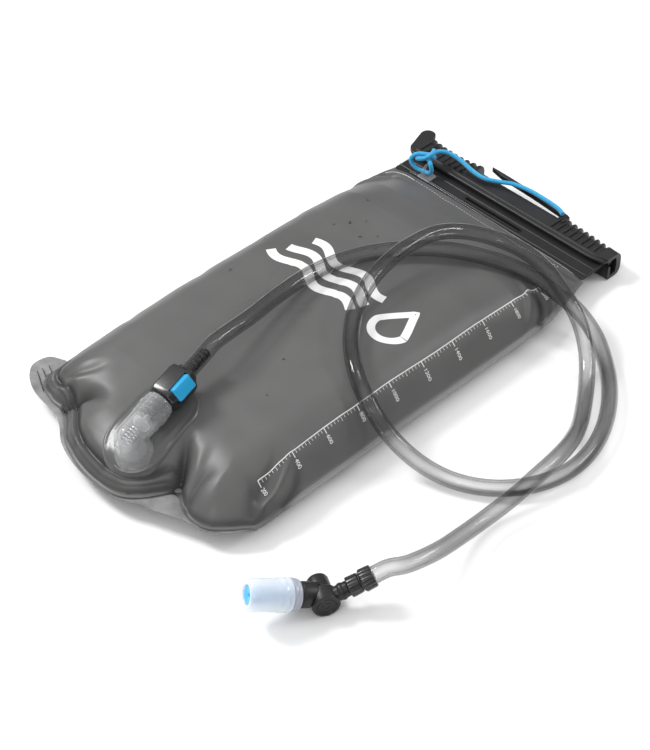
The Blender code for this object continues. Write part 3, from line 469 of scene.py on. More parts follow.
P_BOTTOM, P_LEFT, P_RIGHT = (poly_xy(OUT_BOTTOM, 12), poly_xy(OUT_LEFT, 12),
                             poly_xy(OUT_RIGHT, 12))
SEG_A = np.vstack([p[:-1] for p in (P_BOTTOM, P_LEFT, P_RIGHT)])
SEG_B = np.vstack([p[1:] for p in (P_BOTTOM, P_LEFT, P_RIGHT)])


def seg_dist(x, y, A, B):
    best = np.full(x.shape, 1e9)
    for (ax, ay), (bx, by) in zip(A, B):
        ex, ey = bx - ax, by - ay
        t = np.clip(((x - ax) * ex + (y - ay) * ey) / max(ex * ex + ey * ey, 1e-9), 0, 1)
        best = np.minimum(best, np.hypot(ax + t * ex - x, ay + t * ey - y))
    return best


def smooth01(t):
    t = np.clip(t, 0.0, 1.0)
    return t * t * (3 - 2 * t)


def vnoise(x, y, scale, seed):
    """Smooth value noise from a fixed lattice, -1..1."""
    rng = np.random.RandomState(seed)
    lat = rng.uniform(-1, 1, (64, 64))
    u, v = x / scale + 31.3, y / scale + 27.7
    i, j = np.floor(u).astype(int), np.floor(v).astype(int)
    fu, fv = smooth01(u - i), smooth01(v - j)
    i, j = i % 63, j % 63
    return ((lat[i, j] * (1 - fu) + lat[i + 1, j] * fu) * (1 - fv)
            + (lat[i, j + 1] * (1 - fu) + lat[i + 1, j + 1] * fu) * fv)

EDGE_W = 1.8

# Folds of the film: points of the line, height, half-width.
FOLDS = [
    ([(45, -161), (44, -153), (39, -145), (33, -137), (32, -126)], -7.0, 3.6),
    ([(54, -158), (51, -149), (46, -139), (42, -128)], 2.4, 4.0),
    ([(-50, -162), (-44, -154), (-34, -148), (-22, -146)], -6.0, 3.8),
    ([(-58, -158), (-52, -146), (-44, -134)], 2.4, 5.0),
    ([(-62, -150), (-50, -140), (-40, -124)], -1.6, 3.0),
    ([(60, -164), (57, -150), (60, -138)], -1.8, 3.0),
    ([(-70, -154), (-62, -142), (-56, -126)], -1.3, 4.0),
    ([(92, -133), (90, -121), (84, -108), (76, -98)], 3.4, 1.9),
    ([(94, -122), (90, -108), (82, -97)], -2.6, 2.6),
    ([(86, -134), (80, -118), (70, -106)], -1.8, 3.0),
    ([(90, -142), (82, -134), (74, -130)], -1.4, 3.6),
    ([(94, 84), (86, 93), (76, 98), (60, 99)], 3.0, 2.4),
    ([(94, 94), (86, 102), (74, 106)], -3.4, 2.6),
    ([(92, 108), (80, 113), (64, 118)], 2.2, 2.6),
    ([(88, 124), (76, 122), (62, 126)], -1.5, 3.0),
    ([(84, 138), (70, 132), (52, 130)], 1.0, 2.6),
    ([(-80, 104), (-72, 114), (-66, 128), (-60, 142)], 2.4, 2.6),
    ([(-80, 116), (-74, 126), (-68, 142)], -2.4, 2.2),
    ([(-79, 132), (-66, 130), (-44, 136)], -1.2, 3.0),
    ([(-30, 143), (-26, 130), (-24, 116)], -0.7, 4.5),
    ([(14, 143), (16, 131), (12, 118)], 0.6, 4.5),
    ([(40, 143), (38, 134), (42, 122)], -0.7, 4.0),
    ([(-81, 40), (-72, 44), (-60, 43)], -0.8, 5.0),
    ([(-81, -40), (-70, -36), (-58, -40)], -0.8, 5.0),
    ([(-81, -96), (-70, -92), (-58, -98)], -0.9, 4.5),
    ([(95, -60), (86, -55), (74, -58)], -0.9, 4.0),
    ([(95, 12), (86, 14), (76, 10)], -0.7, 4.0),
    ([(95, 50), (87, 53), (78, 49)], -0.6, 4.0),
    ([(50, -110), (58, -88), (70, -66)], -0.8, 10.0),
    ([(8, -184), (8, -176), (4, -170)], -0.8, 3.0),
    ([(-20, -180), (-17, -172), (-14, -166)], -0.9, 3.0),
]


def film_top(x, y, folds=True):
    x, y = np.asarray(x, float), np.asarray(y, float)
    d = seg_dist(x, y, SEG_A, SEG_B)
    t = np.clip((d - EDGE_W) / EDGE_RUN, 0, 1)
    g = (1 - (1 - t) ** 2.3) ** 0.78
    zf = FLANGE_Z + GUSSET_LIFT * smooth01((-138 - y) / 14)
    zc = np.interp(y, [c[0] for c in CROWN], [c[1] for c in CROWN])
    z = zf + (zc - zf) * g
    if not folds:
        return z
    inside = smooth01((d - 0.6) / 4.0) * smooth01((144.5 - y) / 6.0)
    for pts, amp, wid in FOLDS:
        p = poly_xy(pts, 6)
        best, along = np.full(x.shape, 1e9), np.zeros(x.shape)
        for k in range(len(p) - 1):
            (ax, ay), (bx, by) = p[k], p[k + 1]
            ex, ey = bx - ax, by - ay
            s = np.clip(((x - ax) * ex + (y - ay) * ey) / max(ex * ex + ey * ey, 1e-9), 0, 1)
            dd = np.hypot(ax + s * ex - x, ay + s * ey - y)
            near = dd < best
            best = np.where(near, dd, best)
            along = np.where(near, (k + s) / (len(p) - 1), along)
        fade = smooth01((1 - along) / 0.65)
        z = z + amp * fade * np.exp(-(best / wid) ** 2) * inside
    z = z + inside * (0.45 * vnoise(x, y, 34.0, 3) + 0.22 * vnoise(x, y, 15.0, 5) - 0.35)
    # parallel pressed lines along the base's weld, and the weld's own step
    base = smooth01((-150 - y) / 8.0) * smooth01((46 - x) / 6.0)
    for dd in (1.4, 3.4, 5.6):
        z = z + base * 0.42 * np.exp(-((d - dd) / 0.55) ** 2)
    roll = smooth01((-128 - y) / 12.0) * smooth01((40 - x) / 8.0)
    z = z + roll * (0.6 * np.exp(-((d - 5.0) / 1.6) ** 2) - 2.6 * np.exp(-((d - 9.0) / 2.1) ** 2))
    z = z + 0.2 * np.exp(-((d - 1.9) / 0.4) ** 2) * (1 - base)
    # welded disc between the two films
    rr = np.hypot(x + 7.7, y + 6.4)
    z = z - 0.35 * np.exp(-((rr - 21.0) / 1.2) ** 2)
    return z


def film_painted_shade(x, y):
    """Painted shade on the film: darker in and beside its folds, between the pressed lines along the base, along
    the lower edges and toward the upper right, and near-black under the mouth strip.
    """
    x, y = np.asarray(x, float), np.asarray(y, float)
    d = seg_dist(x, y, SEG_A, SEG_B)
    dark = np.zeros(x.shape)
    for pts, amp, wid in FOLDS:
        if amp > -1.0:
            continue
        p = poly_xy(pts, 6)
        best, along = np.full(x.shape, 1e9), np.zeros(x.shape)
        for k in range(len(p) - 1):
            (ax, ay), (bx, by) = p[k], p[k + 1]
            ex, ey = bx - ax, by - ay
            t = np.clip(((x - ax) * ex + (y - ay) * ey) / max(ex * ex + ey * ey, 1e-9), 0, 1)
            dd = np.hypot(ax + t * ex - x, ay + t * ey - y)
            near = dd < best
            best = np.where(near, dd, best)
            along = np.where(near, (k + t) / (len(p) - 1), along)
        dark = np.maximum(dark, min(0.85, 0.22 * -amp) * smooth01((1 - along) / 0.6)
                          * np.exp(-(best / (wid * 0.9)) ** 2))
    base = smooth01((-128 - y) / 12.0) * smooth01((44 - x) / 8.0)
    dark = np.maximum(dark, base * 0.8 * np.exp(-((d - 9.2) / 2.2) ** 2))
    for dd in (2.4, 4.5):
        dark = np.maximum(dark, base * 0.6 * np.exp(-((d - dd) / 0.6) ** 2))
    dark = np.maximum(dark, 0.45 * np.exp(-((d - 2.6) / 1.4) ** 2) * smooth01((-100 - y) / 20))
    dark = np.maximum(dark, 0.30 * smooth01((y - 84) / 40) * smooth01((x - 10) / 50))
    dark = np.clip(dark + 0.10 * vnoise(x, y, 40.0, 11), 0, 0.9)
    seam = 146.3 - 3.3 * (x + 83.5) / 168.5
    return np.maximum(dark, 0.93 * smooth01((y - seam - 0.8) / 0.8))


def film_bottom(x, y):
    d = seg_dist(x, y, SEG_A, SEG_B)
    t = np.clip((d - EDGE_W) / 26.0, 0, 1)
    z = BACK_Z * (1 - t) ** 1.9
    rise = 10.2 * smooth01((y - 92) / 50.0)
    return np.maximum(np.maximum(z, rise), 0.05)


def along_line(line, t):
    seg = np.hypot(*(line[1:] - line[:-1]).T)
    run = np.concatenate([[0], np.cumsum(seg)])
    s = np.clip(t, 0, 1) * run[-1]
    return np.stack([np.interp(s, run, line[:, 0]), np.interp(s, run, line[:, 1])], -1)


def coons_grid(nu, nv):
    # stations lie closer together near the edges
    def stations(n, k):
        t = np.linspace(0, 1, n)
        return t - k * np.sin(2 * np.pi * t) / (2 * np.pi)
    us, vs = stations(nu, 0.45), stations(nv, 0.35)
    top = np.array([P_LEFT[-1], P_RIGHT[-1]])
    b, t = along_line(P_BOTTOM, us), along_line(top, us)
    lf, rt = along_line(P_LEFT, vs), along_line(P_RIGHT, vs)
    U, V = us[None, :, None], vs[:, None, None]
    return ((1 - V) * b[None] + V * t[None] + (1 - U) * lf[:, None] + U * rt[:, None]
            - ((1 - U) * (1 - V) * b[0] + U * (1 - V) * b[-1]
               + (1 - U) * V * t[0] + U * V * t[-1]))


def shell(grid, top, bottom):
    rows, cols = grid.shape[:2]
    x, y = grid[..., 0], grid[..., 1]
    verts = np.concatenate([np.stack([x, y, z], -1).reshape(-1, 3) for z in (top, bottom)])
    off = rows * cols
    i, j = np.mgrid[0:rows - 1, 0:cols - 1]
    a = (i * cols + j).ravel()
    q = np.stack([a, a + 1, a + cols + 1, a + cols], -1)
    faces = [tuple(f) for f in q.tolist()] + [tuple(f) for f in (off + q[:, ::-1]).tolist()]
    rim = ([k for k in range(cols)] + [k * cols + cols - 1 for k in range(1, rows)]
           + [(rows - 1) * cols + k for k in range(cols - 2, -1, -1)]
           + [k * cols for k in range(rows - 2, 0, -1)])
    for k in range(len(rim)):
        a, b = rim[k], rim[(k + 1) % len(rim)]
        faces.append((b, a, off + a, off + b))
    return verts.tolist(), faces


# ------------------------------------------------------------------ drink tube
port_m = (Matrix.Translation(Vector(PORT_ORIGIN) * MM)
          @ Matrix.Rotation(math.radians(PORT_YAW), 4, "Z")
          @ Matrix.Rotation(math.radians(PORT_PITCH), 4, "X"))
vb = Vector(VALVE_AXIS).normalized()
valve_m = (Matrix.Translation(Vector(VALVE_FACE) * MM)
           @ Matrix.Rotation(math.atan2(vb.y, vb.x) - math.pi / 2, 4, "Z"))


def at_port(x, y, z):
    return port_m @ (Vector((x, y, z)) * MM) / MM


def arm_pts(verts, pitch, sign, ys):
    cs, sn = math.cos(math.radians(pitch)), math.sin(math.radians(pitch))
    return [(sign * (y * cs - z * sn), ys + x, y * sn + z * cs) for x, y, z in verts]


def at_stem(s):
    return valve_m @ (Vector(arm_pts([(0, s, 0)], STEM_PITCH, -1, -5.0)[0]) * MM) / MM


tube_end, tube_dir = at_stem(29.9), (at_stem(39.9) - at_stem(29.9)).normalized()
route = ([at_port(0, 70.2, 0), at_port(0, 78.0, 0)] + [Vector(p) for p in TUBE_ROUTE[1:]]
         + [tube_end + tube_dir * 9.0, tube_end])
line = resample(catmull(route, 10), 430)
lead = [at_port(0, s, 0) for s in (50.6, 53.0, 56.0, 59.0, 62.0, 65.0, 68.0)]
line = lead + line
for it in range(2):
    line = [line[0]] + [(line[i - 1] + line[i] * 2 + line[i + 1]) / 4
                        for i in range(1, len(line) - 1)] + [line[-1]]
SIDES = 28
ring_pts = [(math.cos(2 * math.pi * k / SIDES), math.sin(2 * math.pi * k / SIDES))
            for k in range(SIDES)]
ov, of_ = sweep(line, lambda i, n: [(TUBE_R * a, TUBE_R * b) for a, b in ring_pts], cap=False)
iv, if_ = sweep(line, lambda i, n: [(TUBE_BORE * a, TUBE_BORE * b) for a, b in ring_pts],
                cap=False)
no = len(ov)
faces = of_ + [tuple(no + k for k in f[::-1]) for f in if_]
for k in range(SIDES):
    k2 = (k + 1) % SIDES
    faces.append((k, k2, no + k2, no + k))
    e = len(ov) - SIDES
    faces.append((e + k2, e + k, no + e + k, no + e + k2))
hose = add("hose_smoke", ov + iv, faces, M_TUBE, None,
           ("drink_tube", "tube_inlet_end"), smooth=60)
hose.data.materials.append(M_TUBE_IN)
for pl in hose.data.polygons:
    if min(pl.vertices) >= no:
        pl.material_index = 1

# -------------------------------------------------------------------- tether

def braid(i, n, r=1.42, pitch=9.0, strands=8):
    """Round section of a braided cord at one station."""
    out = []
    for k in range(24):
        a = 2 * math.pi * k / 24
        w = (math.cos(strands / 2 * a + i * 2 * math.pi / pitch)
             * math.cos(strands / 2 * a - i * 2 * math.pi / pitch))
        rr = r + 0.10 * w
        out.append((rr * math.cos(a), rr * math.sin(a)))
    return out


tether_line = resample(catmull(TETHER_ROUTE, 12), 290)
tv, tf = sweep(tether_line, braid)
tether = add("tether_run", tv, tf, M_CORD, None, ("tether_cord",), smooth=80)
hitch = [(-56.9, 156.2, 25.3), (-55.2, 152.4, 25.6), (-51.6, 150.2, 24.6), (-50.4, 150.0, 20.5),
         (-52.6, 150.2, 17.4), (-57.0, 149.4, 16.9), (-62.6, 147.4, 18.6), (-66.2, 147.0, 23.0),
         (-64.0, 149.4, 27.2), (-58.6, 152.6, 28.3), (-54.0, 155.0, 27.2), (-56.0, 158.0, 24.2),
         (-61.5, 157.0, 22.6), (-64.2, 152.0, 23.2), (-61.2, 148.4, 25.6), (-56.4, 149.8, 27.8),
         (-54.6, 154.6, 29.8), (-56.6, 158.6, 29.4)]
hl = resample(catmull(hitch, 12), 230)
hv, hf = sweep(hl, braid)
hitch_ob = add("tether_hitch", hv, hf, M_CORD, "reservoir", ("tether_loop",),
               smooth=80)
kn = []
for k in range(60):
    a = 2 * math.pi * k / 60 * 2
    kn.append(Vector((-57.0 + 1.9 * math.cos(a) * (1 + 0.2 * math.sin(a * 0.5)),
                      155.0 + 1.8 * math.sin(a), 25.6 + 1.6 * math.sin(1.5 * a))))
kv, kf = sweep(kn, lambda i, n: braid(i, n, 1.2), closed=True)
add("tether_knot_turns", kv, kf, M_CORD, "reservoir", ("tether_knot",), smooth=80)

# ------------------------------------------------------------------- the bag
grid = coons_grid(170, 300)
gx, gy = grid[..., 0], grid[..., 1]
ztop = film_top(gx, gy)
zbot = film_bottom(gx, gy)
edge_d = seg_dist(gx, gy, SEG_A, SEG_B)
# the two films meet in the welded edge
zbot = np.where(edge_d < 4.0, np.maximum(zbot, ztop - 2.9), zbot)
zbot = np.minimum(zbot, ztop - 0.6)
v, f = shell(grid, ztop, zbot)
bag = add("bag_film", v, f, M_FILM, "reservoir", ("front_panel", "back_panel"),
          smooth=50)
weld = np.concatenate([((1 - smooth01((edge_d - 1.5) / 0.8)) * (
    0.12 + 0.88 * smooth01((gx - 60) / 20) * smooth01((130 - gy) / 20)
    * smooth01((gy + 128) / 16))).ravel()] * 2)
tri = smooth01((np.concatenate([gy.ravel()] * 2) - 128 - 0.12 * np.abs(
    np.concatenate([gx.ravel()] * 2))) / 6.0) * 0.04
at = bag.data.attributes.new("weld", "FLOAT", "POINT")
if len(bag.data.vertices) == len(weld):
    at.data.foreach_set("value", np.maximum(weld, tri).astype(np.float32))

# painted shade for folds, base lines, edges and under the mouth strip, stored on the film's points for its
# material
painted_fold_shade = np.concatenate([film_painted_shade(gx, gy).ravel()] * 2)
at = bag.data.attributes.new("painted_fold_shade", "FLOAT", "POINT")
if len(bag.data.vertices) == len(painted_fold_shade):
    at.data.foreach_set("value", painted_fold_shade.astype(np.float32))

# gusset film with the grooved tab
g_out = [(-84, -131), (-93.5, -136), (-95, -146), (-89, -154.5), (-79, -160.5),
         (-69, -163), (-60, -164), (-50, -166), (-42, -170), (-30, -178),
         (-12, -183.6), (8, -185.2), (24, -183.5), (34, -179), (45, -175),
         (56, -170.5), (66, -167), (77, -165), (86.5, -157), (94, -146)]
g_in = [(-75, -133), (-77, -138), (-77, -142), (-75, -147), (-70, -151),
        (-63, -153.5), (-56, -154.5), (-48, -156.5), (-39, -160), (-28, -167),
        (-11, -173.5), (8, -176), (21, -174), (29, -169), (36, -160),
        (44, -152), (53, -153.5), (64, -157), (74, -155), (85, -141)]
po, pi_ = poly_xy(g_out, 10), poly_xy(g_in, 10)
w = np.linspace(0, 1, 15)[:, None, None]
gg = pi_[None] * (1 - w) + po[None] * w
X, Y = gg[..., 0], gg[..., 1]
gz = 12.4 + 1.3 * smooth01((-138 - Y) / 14) - 1.25
emb = np.zeros_like(gz)
for (x0, y0) in ((-88.5, -148.5), (-84.0, -150.5)):
    c, s = math.cos(math.radians(63)), math.sin(math.radians(63))
    u, vv = (X - x0) * c + (Y - y0) * s, -(X - x0) * s + (Y - y0) * c
    emb -= 0.9 * np.exp(-(vv / 0.75) ** 2) * smooth01((7.0 - np.abs(u)) / 1.5)
wob = 0.25 * vnoise(X, Y, 7.0, 9)
v, f = shell(gg, gz + emb + wob, gz + emb + wob - 0.45)
add("gusset_film", v, f, M_GUSSET, "reservoir", ("bottom_gusset",), smooth=60)

# near-black lines laid in the tab's pressed grooves: painted shade in the grooves
groove_shade_v, groove_shade_f = [], []
for (gx0, gy0), (gx1, gy1) in [((-87.2, -149.9), (-71.3, -158.2)), ((-87.2, -146.1), (-70.1, -153.9)), ((-86.2, -142.0), (-69.7, -149.3))]:
    pts = [Vector((gx0 + (gx1 - gx0) * t, gy0 + (gy1 - gy0) * t, 12.75 + 0.3 * math.sin(3 * t)))
           for t in np.linspace(0, 1, 9)]
    v, f = sweep(pts, lambda i, n: [(0.42 * (0.3 + math.sin(math.pi * (i + 0.5) / n)) * a,
                                     0.22 * b) for a, b in
                                    [(math.cos(q), math.sin(q)) for q in
                                     (0, 0.785, 1.57, 2.36, 3.14, 3.93, 4.71, 5.5)]])
    groove_shade_f += [tuple(k + len(groove_shade_v) for k in q) for q in f]
    groove_shade_v += [tuple(q) for q in v]
add("tab_groove_shadow_lines", groove_shade_v, groove_shade_f, M_RUBBER, "reservoir", smooth=60)

# --------------------------------------------------------------- port patch
ax0, ax1, half = Vector((12.0, -156.5, 0)), Vector((8.5, -131.5, 0)), 19.5
axis = (ax1 - ax0).normalized()
side = Vector((axis.y, -axis.x, 0))
plen = (ax1 - ax0).length
degs = (88, 80, 70, 60, 50, 40, 30, 20, 10)
rows = [(-half * math.sin(math.radians(d)), half * math.cos(math.radians(d))) for d in degs]
rows += [(plen * k / 12, half) for k in range(13)]
rows += [(plen + half * math.sin(math.radians(d)), half * math.cos(math.radians(d)))
         for d in reversed(degs)]
us = np.concatenate([[-1, -0.985, -0.96, -0.93, -0.9], np.linspace(-0.84, 0.84, 29),
                     [0.9, 0.93, 0.96, 0.985, 1]])
gp = np.array([[(ax0.x + axis.x * a + side.x * b * u, ax0.y + axis.y * a + side.y * b * u)
                for u in us] for a, b in rows])
px_, py_ = gp[..., 0], gp[..., 1]
foot = np.clip((px_ - ax0.x) * axis.x + (py_ - ax0.y) * axis.y, 0, plen)
rim_d = half - np.hypot(px_ - ax0.x - axis.x * foot, py_ - ax0.y - axis.y * foot)
pz = film_top(px_, py_)
crest = 0.75 + 0.55 * np.exp(-((rim_d - 1.1) / 0.7) ** 2) - 0.5 * np.exp(-(rim_d / 0.5) ** 2)
crest += 0.28 * np.exp(-((rim_d - 5.4) / 0.5) ** 2)
v, f = shell(gp, pz + crest, pz - 0.15)
add("port_patch_film", v, f, M_PATCH, "reservoir", ("port_patch",), smooth=60)


# --------------------------------------------------------------------- prints
def ribbon(points, width, lift=0.10, thick=0.12, step=0.8, closed=False, xk=1.0):
    """A printed line that follows the film; points and width in mm."""
    pts = [Vector((x, y, 0)) for x, y in points]
    if closed:
        pts.append(pts[0])
    total = sum((b - a).length for a, b in zip(pts, pts[1:]))
    n = max(2, int(total / step))
    pts = resample(pts, n + 1)
    if closed:
        pts = pts[:-1]
    m = len(pts)
    left, right = [], []
    for i in range(m):
        if closed:
            t = pts[(i + 1) % m] - pts[i - 1]
        else:
            t = pts[min(i + 1, m - 1)] - pts[max(i - 1, 0)]
        t.normalize()
        nn = Vector((-t.y * xk, t.x, 0)) * (width / 2)
        left.append(pts[i] + nn)
        right.append(pts[i] - nn)
    cols = max(2, int(width / 1.2) + 1)
    g = np.array([[tuple((left[i] * (1 - j / (cols - 1)) + right[i] * (j / (cols - 1)))[:2])
                   for j in range(cols)] for i in range(m)])
    if closed:
        g = np.concatenate([g, g[:1]], 0)
    z = film_top(g[..., 0], g[..., 1])
    return shell(g, z + lift + thick, z + lift - 0.05)


class Batch:
    def __init__(self):
        self.v, self.f = [], []

    def put(self, vf):
        o = len(self.v)
        self.v += [tuple(q) for q in vf[0]]
        self.f += [tuple(o + k for k in q) for q in vf[1]]


# dotted weld line beside the mouth strip
dots = Batch()
n_dot = 112
for k in range(n_dot):
    u = k / (n_dot - 1)
    dx, dy = -83.5 + (85.0 - -83.5) * u, 146.3 + (143.0 - 146.3) * u
    dz = float(film_top(np.array([dx]), np.array([dy]))[0]) + 0.06
    dots.put(([(dx + 0.33 * math.cos(q), dy + 0.2 * math.sin(q), dz + h)
               for h in (0.0, 0.12) for q in (0.0, 1.05, 2.09, 3.14, 4.19, 5.24)],
              [tuple(range(6, 12)), (5, 4, 3, 2, 1, 0)]
              + [(q, (q + 1) % 6, 6 + (q + 1) % 6, 6 + q) for q in range(6)]))
add("weld_dots", dots.v, dots.f, M_PRINT, "reservoir", smooth=30)

marks = Batch()
tick_y = [-128.5, -102.0, -77.0, -51.0, -25.0, 1.5, 27.5, 54.0, 80.5, 108.0]
tick_x = [81.0, 80.4, 80.0, 80.2, 80.2, 80.7, 80.9, 80.7, 80.0, 78.6]


def tx(y):
    return float(np.interp(y, tick_y, tick_x))


marks.put(ribbon([(tx(y), y) for y in np.linspace(tick_y[0], tick_y[-1], 60)], 0.42))
for k, y in enumerate(tick_y):
    marks.put(ribbon([(tx(y), y), (tx(y) + 2.7, y)], 0.55, step=0.5))
    if k < len(tick_y) - 1:
        for j in range(1, 10):
            yy = y + (tick_y[k + 1] - y) * j / 10
            for q in range(3 if j == 5 else 2):
                x0 = tx(yy) + 0.55 + 0.62 * q
                marks.put(ribbon([(x0, yy), (x0 + 0.34, yy)], 0.42, step=0.4))
# dotted line under the mouth: highest fill
fill = catmull([(-66, 139.5, 0), (-52, 139.0, 0), (-20, 137.5, 0), (15, 136.5, 0),
                (45, 137.5, 0), (68, 140.0, 0)], 10)
fl = resample(fill, 110)
for a, b in zip(fl[::2], fl[1::2]):
    marks.put(ribbon([(a.x, a.y), (b.x * 0.7 + a.x * 0.3, b.y * 0.7 + a.y * 0.3)], 0.42,
                     step=0.6))
arc = catmull([(-77, 134.5, 0), (-72, 138.5, 0), (-64, 140.0, 0), (-56, 139.4, 0)], 8)
marks.put(ribbon([(p.x, p.y) for p in arc], 0.5))
add("scale_marks", marks.v, marks.f, M_PRINT, "reservoir", smooth=50)

# numbers on the scale
dg = bpy.context.evaluated_depsgraph_get
nums = Batch()
for k, y in enumerate(tick_y):
    cu = bpy.data.curves.new("num", "FONT")
    cu.body = str(200 * (k + 1))
    cu.size = 3.6
    cu.extrude = 0.06
    cu.resolution_u = 3
    cu.align_x = "LEFT"
    cu.align_y = "CENTER"
    ob = bpy.data.objects.new("num", cu)
    scn.collection.objects.link(ob)
    bpy.context.view_layer.update()
    me = bpy.data.meshes.new_from_object(ob.evaluated_get(dg()), depsgraph=dg())
    bm = bmesh.new()
    bm.from_mesh(me)
    bmesh.ops.remove_doubles(bm, verts=bm.verts, dist=1e-5)
    co = np.array([vv.co[:] for vv in bm.verts])
    wx = tx(y) + 3.3 + co[:, 0] * 0.66
    wy = y + co[:, 1] * 1.0
    wz = film_top(wx, wy) + 0.16 + co[:, 2] * 1.0
    bm.verts.index_update()
    nums.put((np.stack([wx, wy, wz], -1).tolist(),
              [tuple(vv.index for vv in fc.verts) for fc in bm.faces]))
    bm.free()
    bpy.data.objects.remove(ob, do_unlink=True)
add("scale_numbers", nums.v, nums.f, M_PRINT, "reservoir", smooth=30)

# generic mark: three waves and a drop
wave = Batch()
ca, sa = math.cos(math.radians(-5)), math.sin(math.radians(-5))


def mk(u, v):
    return (8 + ca * u - sa * v, 11 + sa * u + ca * v)


for k, v0 in enumerate((-11.5, 0.0, 11.5)):
    lo_u, hi_u = -54 + 5 * k, 20 + 3 * k
    pts = [mk(u, v0 + 3.4 * math.sin((u + 4 * k) * 2 * math.pi / 38.0))
           for u in np.linspace(lo_u, hi_u, 90)]
    wave.put(ribbon(pts, 6.2, step=1.0))
drop = []
for k in range(72):
    a = 2 * math.pi * k / 72
    r = 11.5
    drop.append(mk(47 + r * math.cos(a) * (1.0 if math.sin(a) < 0 else
                                          (1 - math.sin(a)) ** 0.75),
                   -4 + r * math.sin(a) * (1.0 if math.sin(a) < 0 else 1.75)))
wave.put(ribbon(drop, 5.0, step=1.0, closed=True))
add("generic_mark", wave.v, wave.f, M_PRINT, "reservoir", smooth=50)

# few drops of water on the film
rng = np.random.RandomState(11)
dv = Batch()
for cx, cy, s in ((-33, 57, 1.5), (-18.3, 51, 1.1), (-3.6, 49.2, 1.3), (-28, 66, 0.9),
                  (-50.5, -27.9, 1.0), (-21.1, -38.8, 0.8), (-38, 48, 0.8), (-12, 60, 0.7),
                  (-60, 10, 0.9), (30, -60, 0.8), (44, -86, 0.7), (-44, 84, 1.0)):
    bm = bmesh.new()
    bmesh.ops.create_icosphere(bm, subdivisions=3, radius=s)
    z0 = float(film_top(np.array([cx]), np.array([cy]))[0])
    k1, k2 = rng.uniform(0.8, 1.2, 2)
    dv.put(([(cx + q.co.x * k1, cy + q.co.y * k2, z0 + 0.05 + q.co.z * 0.38)
             for q in bm.verts], [tuple(q.index for q in fc.verts) for fc in bm.faces]))
    bm.free()
add("water_drops", dv.v, dv.f, M_DROP, "reservoir", smooth=80)

# ------------------------------------------------------------------- the port
R, ri = 8.6, 6.95
prof = [(0.0, -R)] + [(R * math.sin(math.radians(9 * k)), -R * math.cos(math.radians(9 * k)))
                      for k in range(1, 10)]
prof += [(R, 0), (R, 13.4), (R + 0.5, 13.7), (R + 0.5, 14.6), (R, 15.0), (R, 16.6),
         (R + 0.5, 16.9), (R + 0.5, 17.8), (R, 18.2), (R, 19.0), (R + 0.9, 19.4),
         (R + 0.9, 21.7), (R, 22.2), (R, 23.6), (R + 0.5, 23.9), (R + 0.5, 24.8), (R, 25.1),
         (R, 27.2), (R - 0.5, 28.0), (0.0, 28.0)]
v, f = turned(prof, 56)
elbow = add("elbow_clear", v, f, M_CLEAR, None, matrix=port_m)
v, f = turned([(0, -15.4), (12.6, -15.4), (12.6, -14.8), (11.6, -13.6), (10.9, -10.5),
               (9.9, -6.0), (8.9, -2.0), (8.3, 0.5), (0, 0.5)], 56, "Z")
c1 = add("c1", v, f, M_CLEAR, None, matrix=port_m, cutter=True)
prof = [(0.0, -ri + 0.3)] + [((ri) * math.sin(math.radians(11.25 * k)),
                              -(ri - 0.3) * math.cos(math.radians(11.25 * k)))
                             for k in range(1, 8)]
prof += [(ri, 0), (ri, 13.4), (4.4, 14.2), (4.4, 15.2), (ri, 15.9), (ri, 30.0), (0.0, 30.0)]
v, f = turned(prof, 56)
c2 = add("c2", v, f, M_CLEAR, None, matrix=port_m, cutter=True)
v, f = turned([(0, -18.0), (8.6, -18.0), (7.4, -8.0), (6.2, -1.0), (0, -1.0)], 40, "Z")
c3 = add("c3", v, f, M_CLEAR, None, matrix=port_m, cutter=True)
carve(elbow, [c1, c2, c3], ["UNION", "DIFFERENCE", "DIFFERENCE"])
reshade(elbow)
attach(elbow, "reservoir")
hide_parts("port_elbow")
v, f = turned(rounded([(12.8, -15.3), (13.6, -15.3), (13.6, -14.8), (12.8, -14.6)],
                      0.2), 48, "Z")
add("elbow_foot", v, f, M_RING, "reservoir", matrix=port_m)

prof = [(0, 7.4), (1.4, 7.45), (2.6, 7.7), (3.7, 8.15), (4.6, 8.8), (5.25, 9.7), (5.6, 10.6),
        (5.6, 12.0), (4.0, 12.4), (1.7, 12.6), (1.7, 16.9), (1.2, 17.4), (0, 17.4)]
v, f = turned(prof, 40)
add("poppet_white", v, f, M_WHITE, "poppet", ("check_valve_poppet",),
    matrix=port_m)


def coil_path(radius, y0, y1, turns, per=24):
    n = int(turns * per)
    return [Vector((radius * math.cos(2 * math.pi * i / per), y0 + (y1 - y0) * i / n,
                    radius * math.sin(2 * math.pi * i / per))) for i in range(n + 1)]


def wire_section(r, k=10):
    return lambda i, n: [(r * math.cos(2 * math.pi * q / k), r * math.sin(2 * math.pi * q / k))
                         for q in range(k)]


v, f = sweep(coil_path(3.6, -3.6, 6.9, 5.0), wire_section(0.4))
spring = add("poppet_spring_wire", v, f, M_STEEL, None, ("poppet_spring",),
             matrix=port_m)
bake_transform(spring)

prof = [(3.2, 17.8), (5.6, 17.8), (6.3, 18.8), (6.3, 20.2), (4.9, 20.2), (4.9, 22.2),
        (6.3, 22.2), (6.3, 24.0), (4.9, 24.0), (4.9, 26.0), (6.3, 26.0), (6.3, 28.5),
        (3.2, 28.5)]
v, f = turned(rounded(prof, 0.25, 2), 48)
add("plug_nose_black", v, f, M_GLOSSY, "plug", ("plug_nose",), matrix=port_m)
for i, y in enumerate((21.2, 25.0)):
    v, f = torus(5.9, 0.74, 48, 16, at=y)
    add("plug_seal_%d" % (i + 1), v, f, M_RUBBER, "plug", ("plug_o_ring_%d" % (i + 1),),
        matrix=port_m, smooth=80)
w, h = 9.5, 8.3
sect = [(-w, -4.4), (-5.6, -h), (5.6, -h), (w, -4.4), (w, 3.6), (6.4, h), (-6.4, h), (-w, 3.6)]
